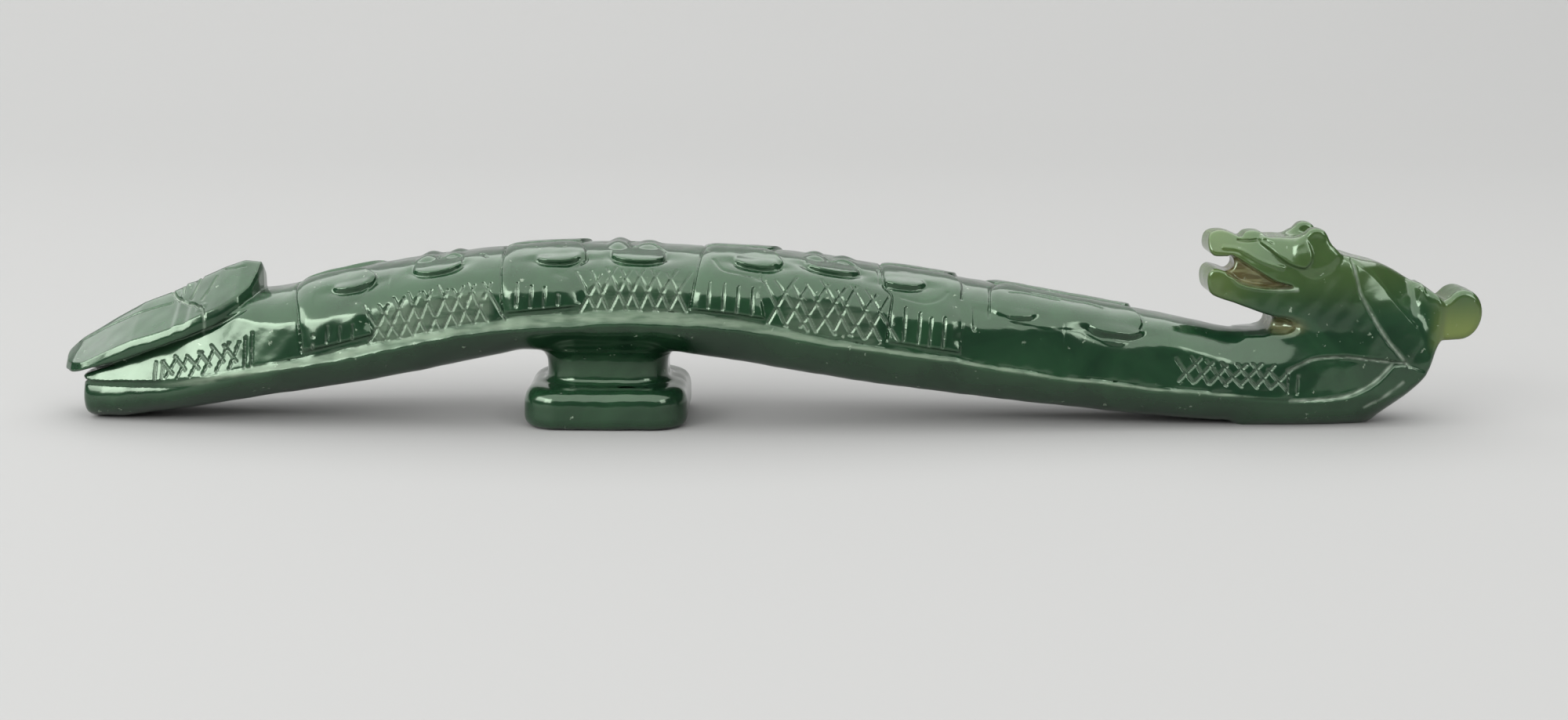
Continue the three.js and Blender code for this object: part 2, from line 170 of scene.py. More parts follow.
@dataclass(frozen=True)
class Cut:
    """An incised line, or a raised one where its depth is negative."""

    points: Points
    width: float
    depth: float


@dataclass(frozen=True)
class Bump:
    """An oval that stands out from the stone.

    Attributes:
        centre: Its middle.
        half: Half its length and half its height.
        rise: How far it stands out.
        turn: Degrees that it is turned, anticlockwise.
    """

    centre: Pair
    half: Pair
    rise: float
    turn: float


class Chart:
    """A flat map of heights over two lengths, on which reliefs are drawn and from which they are read."""

    def __init__(self, low: Pair, high: Pair, step: float = 0.05) -> None:
        """Lays out an empty map.

        Args:
            low: Lowest corner.
            high: Highest corner.
            step: Distance between two points of the map.
        """
        self.low = low
        self.step = step
        across = np.arange(low[0], high[0] + step, step)
        along = np.arange(low[1], high[1] + step, step)
        self.u, self.v = np.meshgrid(across, along, indexing="ij")
        self.value = np.zeros_like(self.u)

    def window(self, points: Points, margin: float) -> Window:
        """The part of the map within a margin of some points.

        Args:
            points: The points to stay near.
            margin: How far round them the window reaches.

        Returns:
            Slices for the two directions of the map.
        """
        spans = []
        for axis in (0, 1):
            values = [p[axis] for p in points]
            first = int((min(values) - margin - self.low[axis]) / self.step)
            last = int((max(values) + margin - self.low[axis]) / self.step) + 2
            spans.append(slice(max(first, 0), max(last, 0)))
        return spans[0], spans[1]

    def from_line(self, points: Points, at: Window) -> Array:
        """Distance from each place in a window to an open line.

        Args:
            points: Corners of the line.
            at: The window.

        Returns:
            Distances over the window.
        """
        u, v = self.u[at], self.v[at]
        best = np.full(u.shape, 1e9)
        for (ua, va), (ub, vb) in zip(points[:-1], points[1:]):
            du, dv = ub - ua, vb - va
            share = np.clip(((u - ua) * du + (v - va) * dv) / (du * du + dv * dv), 0.0, 1.0)
            best = np.minimum(best, np.hypot(u - ua - share * du, v - va - share * dv))
        return best

    def from_area(self, points: Points, at: Window) -> Array:
        """Signed distance from each place in a window to an area's outline, negative within it.

        Args:
            points: Corners of the outline, which closes on itself.
            at: The window.

        Returns:
            Signed distances over the window.
        """
        u, v = self.u[at], self.v[at]
        closed = points + points[:1]
        within = np.zeros(u.shape, bool)
        for (ua, va), (ub, vb) in zip(closed[:-1], closed[1:]):
            if va != vb:
                crosses = (va > v) != (vb > v)
                within ^= crosses & (u < ua + (v - va) * (ub - ua) / (vb - va))
        return np.where(within, -1.0, 1.0) * self.from_line(closed, at)

    def incise(self, points: Points, width: float, depth: float) -> None:
        """Draws an incised line of a given width and depth through some points."""
        at = self.window(points, width)
        self.value[at] -= depth * fade(1.0 - self.from_line(points, at) / (0.5 * width))

    def carve(self, *cuts: Cut) -> None:
        """Draws incised lines as smooth curves."""
        for line in cuts:
            self.incise(smooth(line.points), line.width, line.depth)

    def raise_area(self, points: Points, height: float, edge: float) -> None:
        """Raises an area, or lowers it where height is negative, over an edge of a given width."""
        at = self.window(points, edge)
        self.value[at] += height * fade(0.5 - self.from_area(points, at) / edge)

    def oval(self, bump: Bump) -> tuple[Window, Array, Array]:
        """Measures places round an oval.

        Args:
            bump: The oval.

        Returns:
            The window round it, the share of the way from its middle to its rim, and that share upwards alone.
        """
        power = 2.4
        at = self.window((bump.centre,), 2.0 * max(bump.half))
        c, s = math.cos(math.radians(bump.turn)), math.sin(math.radians(bump.turn))
        u, v = self.u[at] - bump.centre[0], self.v[at] - bump.centre[1]
        a, b = (u * c + v * s) / bump.half[0], (v * c - u * s) / bump.half[1]
        return at, (np.abs(a) ** power + np.abs(b) ** power) ** (1.0 / power), b

    def hump(self, bump: Bump) -> None:
        """Raises a soft round hump on an oval."""
        at, ring, _ = self.oval(bump)
        self.value[at] += bump.rise * np.clip(1.0 - ring**2, 0.0, None) ** 1.5

    def scale(self, bump: Bump) -> None:
        """Raises a scale on an oval: flush above, and steep below, where a hollow is cut in round its lower rim.

        Args:
            bump: The oval.
        """
        rim, hollow_reach = 0.4, 0.55
        at, ring, up = self.oval(bump)
        beyond = (ring - 1.0) * min(bump.half)
        within = fade(0.5 - beyond / rim)
        tilt = ease(up, 0.6, -1.6)
        below = fade(0.45 - 0.9 * up)
        hollow = (1.0 - within) * np.exp(-np.clip(beyond, 0.0, None) / hollow_reach) * below
        self.value[at] += bump.rise * (0.5 * within * tilt - 0.75 * hollow)

    def slope_off(self, points: Points, inside: Points, depth: float, reach: float) -> None:
        """Lets an area slope down softly towards a part of its edge.

        Args:
            points: The part of the edge.
            inside: Outline of the area.
            depth: How far it has sunk at the edge.
            reach: Length over which it sinks.
        """
        edge = 0.12
        at = self.window(points, 4.0 * reach)
        within = fade(0.5 - self.from_area(inside, at) / edge)
        self.value[at] -= depth * within * np.exp(-((self.from_line(points, at) / reach) ** 1.5))

    def settle(self, centre: Pair, reach: float) -> None:
        """Lets what is raised so far run out softly round a place.

        Args:
            centre: The place.
            reach: How far round it the relief is low.
        """
        at = self.window((centre,), 2.5 * reach)
        away = np.hypot(self.u[at] - centre[0], self.v[at] - centre[1]) / reach
        self.value[at] *= 1.0 - 0.95 * np.exp(-(away**2))

    def soften(self, width: float) -> None:
        """Blurs the whole map in both directions.

        Args:
            width: Width of the blur.
        """
        weights = bell(width, self.step)
        for axis in (0, 1):
            pad = [(0, 0), (0, 0)]
            pad[axis] = (len(weights) // 2, len(weights) // 2)
            padded = np.pad(self.value, pad, mode="edge")
            self.value = np.apply_along_axis(np.convolve, axis, padded, weights, mode="valid")

    def read(self, u: Array, v: Array) -> Array:
        """Reads the map at some places.

        Args:
            u: First length of each place.
            v: Second length of each place.

        Returns:
            The value at each place, taken between the map's points.
        """
        nu, nv = self.value.shape
        a = np.clip((u - self.low[0]) / self.step, 0.0, nu - 1.001)
        b = np.clip((v - self.low[1]) / self.step, 0.0, nv - 1.001)
        i, j = a.astype(int), b.astype(int)
        a, b = a - i, b - j
        lower = self.value[i, j] * (1 - b) + self.value[i, j + 1] * b
        upper = self.value[i + 1, j] * (1 - b) + self.value[i + 1, j + 1] * b
        return lower * (1 - a) + upper * a


@dataclass(frozen=True)
class Panel:
    """One raised panel on the side of the shank: a lobe at the crown over a tab at the groove.

    Attributes:
        left: Its left edge, from the crown down, in X and arc above the groove.
        lobe: Right end of the lobe, from the crown down.
        tab: Right edge of the tab, from its top corner down.
        boss: Its oval boss.
    """

    left: Points
    lobe: Points
    tab: Points
    boss: Bump


@dataclass
class Shank:
    """The arched bar with its lower jaw, neck, ledge, belt and the carving on its back.

    Attributes:
        crown: Level of the top of its back.
        groove: Level of the groove between its back and the ledge.
        floor: Level of its underside.
        half: Half its width at the ledge.
        ledge: Height of the ledge under the groove.
        taper: How much the flanks of its back lean in.
        fullness: Power of its cross-section, where 2 is round and more is squarer.
        shoulder: Rounding between the ledge and the belt.
        under_share: Width of its underside, as a share of its full width.
        belt_swell: How far the belt swells.
        ledge_lean: How far the ledge leans back, as a share of its height.
        ledge_waves: Size, pace and start of each wave along the ledge's lower edge.
        notch: How far the groove lies above the ledge.
        shoulder_drop: How far a panel has sunk along its left edge, over shoulder_reach.
        frosted: First X, last X and share of the fields with an unpolished ground.
        soft_edges: Places where a panel has no sharp edge.
        panels, bosses, humps, scars: What is carved on its back, over X and the arc above the groove.
    """

    crown: Profile = Profile(
        ((-66, 4.2), (-65, 4.6), (-63, 5.6), (-60, 7.6), (-55, 9.9), (-49, 12.0), (-47, 12.2), (-45.5, 12.45),
         (-42, 13.55), (-37, 14.6), (-33, 15.2), (-27, 16.0), (-22, 16.45), (-17.5, 16.65), (-13.4, 16.6),
         (-8.5, 16.35), (-3, 16.15), (1.3, 15.85), (5.5, 15.3), (9.3, 14.75), (14, 14.1), (19, 13.25), (23, 12.6),
         (28, 11.7), (33, 10.8), (36, 10.3), (40.5, 9.4), (43.3, 8.85), (46, 8.6), (50, 8.6), (58, 7.5)), 2.4)
    groove: Profile = Profile(
        ((-66, 3.6), (-62.2, 3.55), (-56.1, 3.8), (-52.4, 4.4), (-47.7, 5.4), (-43.1, 6.2), (-38.1, 7.25),
         (-31.6, 8.75), (-27.7, 9.5), (-24.2, 10.0), (-17.6, 10.5), (-16.1, 10.65), (-11, 10.7), (-6.3, 10.4),
         (-3.2, 10.1), (0.7, 9.4), (4.6, 8.6), (8.4, 8.0), (11.9, 7.5), (16.7, 6.8), (21, 6.0), (26.2, 5.1),
         (31.3, 4.5), (35.9, 3.85), (42.1, 3.3), (48.6, 2.95), (53.3, 3.2), (58, 4.5)), 1.6)
    floor: Profile = Profile(
        ((-66, 0.05), (-61.3, 0.15), (-55.2, 1.05), (-47.6, 2.4), (-38.7, 3.8), (-32.4, 5.05), (-27.2, 6.2),
         (-23.4, 7.0), (-16, 7.0), (-8.7, 6.9), (-6.6, 6.6), (-2.6, 6.0), (3.1, 5.0), (7.8, 4.25), (12.5, 3.6),
         (17.2, 3.0), (21.9, 2.4), (30.6, 1.4), (35.5, 0.85), (41.7, 0.35), (47.8, 0.1), (60, 0.05)), 2.4)
    half: Profile = Profile(
        ((-66, 3.2), (-65, 3.8), (-64.2, 4.15), (-62.6, 4.6), (-59.1, 5.3), (-54.2, 6.1), (-49.2, 6.7), (-45.3, 7.1),
         (-33.4, 7.65), (-15.5, 8.05), (-4.7, 8.0), (10.5, 7.7), (20.6, 7.1), (30.1, 6.3), (40.2, 5.55),
         (47.8, 5.0), (50, 4.7), (53, 4.0), (56, 3.0), (60, 1.0)), 2.4)
    ledge: Profile = Profile(
        ((-66, 0.3), (-60, 0.45), (-50, 0.6), (-46, 0.75), (-38, 0.9), (-31, 0.85), (-24, 1.1), (-18, 1.25),
         (-8, 1.15), (0, 0.85), (8, 0.55), (14, 0.42), (22, 0.34), (34, 0.3), (48, 0.28), (60, 0.25)), 2.0)
    taper: Profile = Profile(((-66, 0.45), (-57, 0.45), (-48, 0.2), (-43, 0.15), (48, 0.15), (60, 0.1)), 3.0)
    fullness: Profile = Profile(
        ((-66, 3.0), (-52, 3.0), (-46, 2.6), (-41, 2.33), (-37, 2.4), (-31.5, 2.75), (-27, 2.5), (-24, 2.33),
         (-18.5, 2.33), (-13, 2.7), (-8, 2.35), (-2, 2.33), (5, 2.9), (10, 2.5), (14, 2.4), (20, 2.5), (26, 2.9),
         (38, 2.9), (44, 2.4), (60, 2.33)), 1.5)
    shoulder: Profile = Profile(((-66, 2.4), (-58, 1.7), (-50, 0.5), (-44, 0.16), (60, 0.14)), 3.0)
    under_share: float = 0.56
    belt_swell: Profile = Profile(((-66, 0.9), (-58, 0.8), (-50, 0.5), (-44, 0.42), (60, 0.42)), 3.0)
    ledge_lean: float = 0.42
    ledge_waves: tuple[Triple, ...] = ((0.08, 0.83, 0.7), (0.05, 1.9, 0.7), (0.025, 3.7, 2.0))
    notch: float = 0.12
    flank_rounding: float = 0.12
    notch_rounding: float = 0.16
    sole_rounding: float = 0.7
    groove_blend: float = 0.14
    end_rounding: float = 1.0
    panel_rise: float = 0.3
    panel_edge: float = 0.24
    border_width: float = 0.3
    border_depth: float = 0.2
    shoulder_drop: float = 0.27
    shoulder_reach: float = 0.55
    tail_end: float = -65.0
    bend_end: float = 57.5
    panels: tuple[Panel, ...] = (
        Panel(((-44.75, 10.5), (-44.6, 8.6), (-44.2, 6.2), (-43.8, 4.3), (-43.45, 1.2), (-43.4, 0.45)),
              ((-40.5, 10.3), (-38.6, 9.9), (-37.5, 8.8), (-36.7, 7.3), (-37.2, 5.9)),
              ((-38.3, 4.5), (-37.6, 4.1), (-37.1, 3.3), (-37.0, 1.8), (-36.7, 0.7)),
              Bump((-38.9, 6.75), (1.75, 0.95), 0.5, 4)),
        Panel(((-25.2, 10.9), (-25.05, 9.8), (-24.95, 5.8), (-24.7, 1.5), (-24.65, 0.45)),
              ((-18.8, 10.8), (-18.0, 10.2), (-17.35, 8.5), (-17.1, 6.5), (-17.6, 5.8)),
              ((-19.6, 4.5), (-18.5, 3.9), (-18.0, 2.5), (-17.65, 1.1), (-17.5, 0.6)),
              Bump((-19.65, 7.0), (2.1, 1.05), 0.5, 2)),
        Panel(((-6.1, 11.0), (-6.5, 8.5), (-6.84, 4.8), (-7.18, 2.2), (-7.45, 0.45)),
              ((-0.6, 10.9), (0.2, 10.3), (0.85, 9.0), (1.15, 7.9), (0.8, 6.9)),
              ((-1.2, 4.9), (-0.5, 4.4), (-0.85, 3.5), (-0.95, 2.5), (-0.6, 0.5)),
              Bump((-1.4, 7.45), (2.05, 1.2), 0.5, 3)),
        Panel(((10.3, 11.1), (10.4, 9.2), (10.5, 6.8), (11.2, 5.1), (10.95, 2.6), (10.7, 0.5)),
              ((16.4, 11.0), (17.3, 10.3), (17.8, 9.2), (17.9, 7.9), (17.7, 6.0)),
              ((17.6, 5.1), (17.65, 4.0), (17.7, 3.1), (17.6, 1.5), (17.45, 0.45)),
              Bump((12.4, 7.5), (1.95, 1.15), 0.5, 2)),
        Panel(((21.4, 10.8), (20.9, 9.6), (20.48, 8.4), (20.3, 5.7), (20.2, 4.2)),
              ((33.6, 9.6), (34.3, 8.9), (34.7, 7.4), (34.8, 6.0), (34.5, 5.0)),
              ((34.4, 4.4), (33.0, 3.0), (31.0, 2.9), (28.5, 3.9), (25.5, 3.6)),
              Bump((22.6, 5.25), (2.0, 0.95), 0.5, -4)),
    )
    bosses: tuple[Bump, ...] = (
        Bump((-31.0, 8.0), (2.3, 1.8), 0.45, 2), Bump((-12.3, 7.75), (2.55, 1.8), 0.5, 1),
        Bump((5.7, 8.7), (2.5, 1.35), 0.5, -3), Bump((32.2, 4.75), (2.5, 1.15), 0.55, 4),
    )
    humps: tuple[Bump, ...] = (
        Bump((-32.4, 10.2), (1.1, 1.2), 0.32, 0), Bump((-29.8, 10.2), (1.0, 1.0), 0.26, 0),
        Bump((-14.4, 10.3), (1.15, 1.7), 0.42, 0), Bump((-11.4, 10.2), (1.4, 1.2), 0.3, 0),
        Bump((4.2, 10.7), (1.2, 0.9), 0.36, 0), Bump((7.0, 10.7), (1.3, 0.9), 0.28, 0),
    )
    frosted: tuple[Triple, ...] = ((-37.0, -25.2, 0.55), (-17.2, -7.6, 0.35), (0.8, 10.2, 0.35))
    soft_edges: Points = ((21.5, 4.0), (24.5, 3.3), (26.5, 3.6), (28.7, 3.7), (30.5, 2.6), (33.5, 2.9))
    soft_reach: float = 1.3
    notch_reach: float = 1.2
    scars: tuple[Cut, ...] = (
        Cut(((22.3, 8.1), (24.4, 8.3), (27.0, 8.0)), 0.3, 0.12),
        Cut(((24.6, 8.9), (27.0, 8.5), (29.7, 8.2), (31.1, 7.5)), 0.3, 0.12),
        Cut(((10.0, 9.4), (10.1, 7.0)), 0.25, 0.15),
        Cut(((-5.3, 7.0), (-4.5, 5.5), (-3.2, 5.1), (-1.9, 5.0)), 0.5, 0.1),
        Cut(((12.1, 5.0), (14.1, 4.7), (15.5, 5.3), (16.4, 6.5)), 0.6, 0.1),
        Cut(((18.8, 5.1), (18.84, 2.6)), 0.4, 0.1),
        Cut(((-27.1, 9.3), (-26.5, 8.2)), 0.3, 0.2),
        Cut(((-31.3, 10.4), (-31.0, 9.6), (-30.0, 9.9), (-29.0, 9.2), (-28.7, 7.8)), 0.3, 0.16),
        Cut(((-13.5, 10.6), (-12.9, 9.5), (-12.2, 10.0), (-11.0, 10.0), (-10.1, 9.0), (-9.8, 7.6), (-9.9, 6.6)),
            0.3, 0.2),
        Cut(((5.0, 10.9), (5.4, 10.1), (6.4, 10.4), (7.5, 10.1), (8.2, 9.1), (8.35, 8.1)), 0.3, 0.18),
    )

    def arc(self, x: Array) -> Array:
        """Length over the back from the groove to the crown.

        Args:
            x: Places along X.

        Returns:
            The length at each place.
        """
        half = self.half.at(x) - 0.4
        height = self.crown.at(x) - self.groove.at(x)
        return 0.5 * np.pi * np.sqrt(0.5 * (half**2 + height**2))

    @cached_property
    def relief(self) -> Chart:
        """The carving of the back, over X and the arc above the groove.

        Returns:
            A map of heights above the plain back.
        """
        chart = Chart((-47.0, -0.6), (38.0, 11.8), 0.04)
        top = self.arc(chart.u[:, 0])
        for panel in self.panels:
            right = smooth(panel.lobe + panel.tab)
            chart.raise_area(panel.left[::-1] + right, self.panel_rise, self.panel_edge)
            upright = panel.tab[0][0] - panel.tab[-1][0] < 2.0
            for edge in (panel.left, panel.tab[:-1]) if upright else (panel.left,):
                chart.slope_off(edge, panel.left[::-1] + right, self.shoulder_drop, self.shoulder_reach)
            (ua, va), (ub, vb) = panel.lobe[-1], panel.tab[0]
            chart.settle((0.5 * (ua + ub), 0.5 * (va + vb)), self.notch_reach)
            for border in (panel.left, panel.lobe):
                chart.incise(smooth(border), self.border_width, self.border_depth)
            chart.scale(panel.boss)
            first, last = panel.left[0][0], panel.lobe[0][0]
            seam = tuple((x, float(np.interp(x, chart.u[:, 0], top)) - 0.2) for x in np.linspace(first, last, 9))
            chart.incise(seam, self.border_width, self.border_depth)
        for centre in self.soft_edges:
            chart.settle(centre, self.soft_reach)
        for boss in self.bosses:
            chart.scale(boss)
        for hump in self.humps:
            chart.hump(hump)
        chart.carve(*self.scars)
        chart.soften(0.16)
        return chart

    def distance(self, x: Array, y: Array, z: Array) -> Array:
        """Signed distance to the bar, with its carving.

        Args:
            x: Places along X.
            y: Places across, as distances from the middle plane.
            z: Heights.

        Returns:
            The distances, negative inside.
        """
        crown, half, ledge = self.crown.at(x), self.half.at(x), self.ledge.at(x)
        top = self.groove.at(x) + 0.5 * ledge
        floor, power = self.floor.at(x), self.fullness.at(x)
        uneven = sum(size * np.sin(pace * x + start) for size, pace, start in self.ledge_waves)
        step = self.ledge_lean * ledge
        inner = half - step
        height = np.maximum(crown - top, 0.5)
        p = y / inner
        q = np.clip(z - top, 0.0, None) / height
        m = (p**power + q**power + 1e-9) ** (1.0 / power)
        steep = np.hypot((p / m) ** (power - 1) / inner, (q / m) ** (power - 1) / height)
        dome = (m - 1.0) / np.maximum(steep, 1e-3)
        share = np.arctan2(q ** (0.5 * power), p ** (0.5 * power) + 1e-9) * 2.0 / np.pi
        dome = overlap(dome, (y + self.taper.at(x) * (z - top) - inner) * 0.92, self.flank_rounding)
        dome = dome - self.relief.read(x, share * self.arc(x))
        dome = overlap(dome, top + self.notch - z, self.notch_rounding)

        sill = top - ledge
        bevel = ((y - half) * ledge + (z - sill - uneven) * step) / np.hypot(ledge, step)
        under = self.under_share * half
        depth = np.maximum(sill - floor, 0.8)
        lean = (half - under) / depth
        down = np.clip((sill - z) / depth, 0.0, 1.0)
        swell = self.belt_swell.at(x) * 4.0 * down * (1.0 - down)
        face = (y - half + lean * (sill - z) - swell) / np.hypot(1.0, lean)
        belt = overlap(bevel, face, self.shoulder.at(x))
        belt = np.maximum(overlap(belt, floor - z, self.sole_rounding), z - top - 0.1)
        bar = join(dome, belt, self.groove_blend)
        bar = overlap(bar, self.tail_end - x, self.end_rounding)
        return overlap(bar, x - self.bend_end, self.end_rounding)


@dataclass
class Button:
    """The rounded square button under the shank, and the stem that carries it.

    Attributes:
        centre: Its middle along X.
        waist: How high above the button the stem is thinnest.
        flare: How far the stem widens from there to the shank, over flare_height.
        stem_sunk: How deep the stem starts in the button.
        reach: Lowest and highest X between which it is joined to the shank.
        blend: Width of the fillet between them.
    """

    centre: float = -15.45
    half_length: float = 7.65
    half_width: float = 7.6
    corner: float = 3.4
    top: float = 3.8
    stem_half_length: float = 5.7
    stem_half_width: float = 4.5
    stem_corner: float = 3.2
    stem_top: float = 8.0
    top_rounding: float = 1.7
    foot_rounding: float = 1.1
    waist: float = 1.2
    flare: float = 0.55
    flare_height: float = 2.4
    stem_sunk: float = 1.5
    stem_blend: float = 0.7
    reach: Pair = (-26.5, -4.5)
    blend: float = 1.3

    @staticmethod
    def plan(x: Array, y: Array, half: Pair, corner: float) -> Array:
        """Distance in plan to a rectangle with round corners.

        Args:
            x: Places along, from its middle.
            y: Places across, from its middle.
            half: Half its length and width.
            corner: Radius of its corners.

        Returns:
            The distances, negative inside.
        """
        a = np.abs(x) - half[0] + corner
        b = y - half[1] + corner
        return np.hypot(np.maximum(a, 0), np.maximum(b, 0)) + np.minimum(np.maximum(a, b), 0) - corner

    def distance(self, x: Array, y: Array, z: Array) -> Array:
        """Signed distance to the button and its stem.

        Args:
            x: Places along X.
            y: Places across, as distances from the middle plane.
            z: Heights.

        Returns:
            The distances, negative inside.
        """
        along = x - self.centre
        disc = self.plan(along, y, (self.half_length, self.half_width), self.corner)
        disc = overlap(disc, z - self.top, self.top_rounding)
        disc = overlap(disc, -z, self.foot_rounding)
        waist = self.flare * np.clip((z - self.top - self.waist) / self.flare_height, -0.4, 1.0) ** 2
        stem = self.plan(along, y, (self.stem_half_length, self.stem_half_width), self.stem_corner) - waist
        stem = np.maximum(stem, np.maximum(z - self.stem_top, self.top - self.stem_sunk - z))
        return join(disc, stem, self.stem_blend)


@dataclass
class TailHead:
    """The flat-billed head at the tail: a roofed bill with brow lines and a leaf-shaped crest.

    Attributes:
        ridge: Level of the roof's ridge.
        drop: How far the roof falls from the ridge to its edge, which lies edge_at from the middle plane.
        under: Level of the bill's underside.
        slot_depth: How far from the middle plane the channel under the bill ends.
        edge_worn: How far the bill's edge is worn off.
        facet: Direction in which the worn edge looks, outwards and up.
        lines: What is incised on the bill, over X and the distance from the middle plane.
        dusty: The first of the lines that hold stone powder with a painted sheen, and the first after them.
        reach: Lowest and highest X between which it is joined to the shank.
        blend: Width of the fillet between them.
    """

    ridge: Profile = Profile(
        ((-67.4, 5.5), (-66.73, 6.3), (-65.52, 7.31), (-62.56, 9.07), (-59.62, 10.7), (-56.91, 11.75), (-55.8, 12.2),
         (-55.5, 12.5), (-54.5, 12.8), (-54.15, 13.1), (-51.9, 14.1), (-49.9, 14.8), (-48.5, 14.7), (-47, 14.6)), 0.7)
    drop: Profile = Profile(((-67, 1.9), (-64.6, 2.35), (-58.7, 2.55), (-53.4, 2.8), (-50, 3.0), (-47, 2.6)), 2.0)
    under: Profile = Profile(
        ((-67.2, 4.7), (-65.6, 4.6), (-64.7, 4.8), (-60.3, 6.1), (-54.6, 8.2), (-51.7, 9.4), (-48.9, 11.1),
         (-47.3, 12.5)), 1.5)
    slot_depth: Profile = Profile(((-67, -1.0), (-64.6, 0.4), (-63, 2.6), (-61.5, 3.9), (-59, 4.6), (-48, 4.7)), 1.5)
    plan: Points = (
        (-67.1, -1.2), (-67.1, 0.0), (-67.0, 1.2), (-66.6, 2.6), (-65.8, 3.8), (-64.6, 4.6), (-62, 5.0), (-58, 5.35),
        (-54, 5.45), (-51.5, 5.2), (-49.6, 4.4), (-48.6, 3.1), (-48.25, 1.5), (-48.15, 0.0), (-48.15, -1.2))
    edge_at: float = 4.6
    edge_rounding: float = 0.25
    edge_worn: float = 0.18
    facet: Pair = (0.92, 0.39)
    facet_rounding: float = 0.06
    slot_half: float = 0.15
    slot_below: float = 0.2
    slot_rounding: float = 0.3
    slot_edge: float = 0.25
    lines: tuple[Cut, ...] = (
        Cut(((-66.0, 0.45), (-63.0, 0.9), (-59.5, 1.5), (-56.4, 1.95)), 0.3, 0.14),
        Cut(((-56.9, 0.0), (-56.2, 1.3), (-55.3, 2.4), (-54.0, 3.4), (-52.9, 4.6), (-52.6, 5.4)), 0.4, 0.24),
        Cut(((-55.6, -0.3), (-55.55, 0.6), (-55.4, 1.5)), 0.3, 0.18),
        Cut(((-53.9, -0.3), (-54.1, 1.1), (-54.45, 2.4)), 0.42, 0.24),
        Cut(((-52.3, 1.1), (-52.7, 2.2), (-53.2, 3.3)), 0.36, 0.2),
        Cut(((-51.6, 0.5), (-50.7, 0.85), (-49.7, 0.9)), 0.3, 0.14),
    )
    dusty: tuple[int, int] = (1, 5)
    brow: Bump = Bump((-53.1, 4.3), (0.6, 0.5), 0.18, 0)
    reach: Pair = (-70.0, -45.0)
    blend: float = 0.12

    @staticmethod
    def blank() -> Chart:
        """An empty map of the bill, over X and the distance from the middle plane."""
        return Chart((-70.0, -1.0), (-45.0, 9.0))

    @cached_property
    def outline(self) -> Chart:
        """How far from the edge of the bill a place lies in plan.

        Returns:
            A map of distances, negative inside.
        """
        chart = self.blank()
        chart.value = chart.from_area(self.plan, WHOLE)
        chart.soften(0.5)
        return chart

    @cached_property
    def relief(self) -> Chart:
        """The incised lines of the brow and the crest.

        Returns:
            A map of heights above the plain bill.
        """
        chart = self.blank()
        for line in self.lines:
            chart.incise(line.points, line.width, line.depth)
        chart.hump(self.brow)
        return chart

    @cached_property
    def chalk(self) -> Chart:
        """Where stone powder, with a painted sheen, has stayed in the cuts of the brow.

        Returns:
            A map of its share.
        """
        share = 0.5
        chart = self.blank()
        for line in self.lines[self.dusty[0] : self.dusty[1]]:
            chart.incise(line.points, line.width, -share)
        chart.value = np.clip(chart.value, 0.0, share)
        return chart

    def distance(self, x: Array, y: Array, z: Array) -> Array:
        """Signed distance to the bill.

        Args:
            x: Places along X.
            y: Places across, as distances from the middle plane.
            z: Heights.

        Returns:
            The distances, negative inside.
        """
        blunt, roof_tilt, under_tilt = 0.01, 0.82, 0.93
        slope = (np.sqrt((y / self.edge_at) ** 2 + blunt) - 0.1) / (math.sqrt(1.0 + blunt) - 0.1)
        roof = self.ridge.at(x) - self.drop.at(x) * slope + self.relief.read(x, y)
        top = (z - roof) * roof_tilt
        low = (self.under.at(x) - z) * under_tilt
        side = self.outline.read(x, y)
        bevel = self.facet[0] * side + self.facet[1] * top + self.edge_worn
        bill = overlap(overlap(side, top, self.edge_rounding), bevel, self.facet_rounding)
        return overlap(bill, low, self.edge_rounding)

    def slot(self, x: Array, y: Array, z: Array) -> Array:
        """Signed distance to the mouth line, the channel cut in under the bill."""
        apart = np.abs(z - self.under.at(x) + self.slot_below) * 0.93 - self.slot_half
        return overlap(apart, self.slot_depth.at(x) - y, self.slot_rounding)


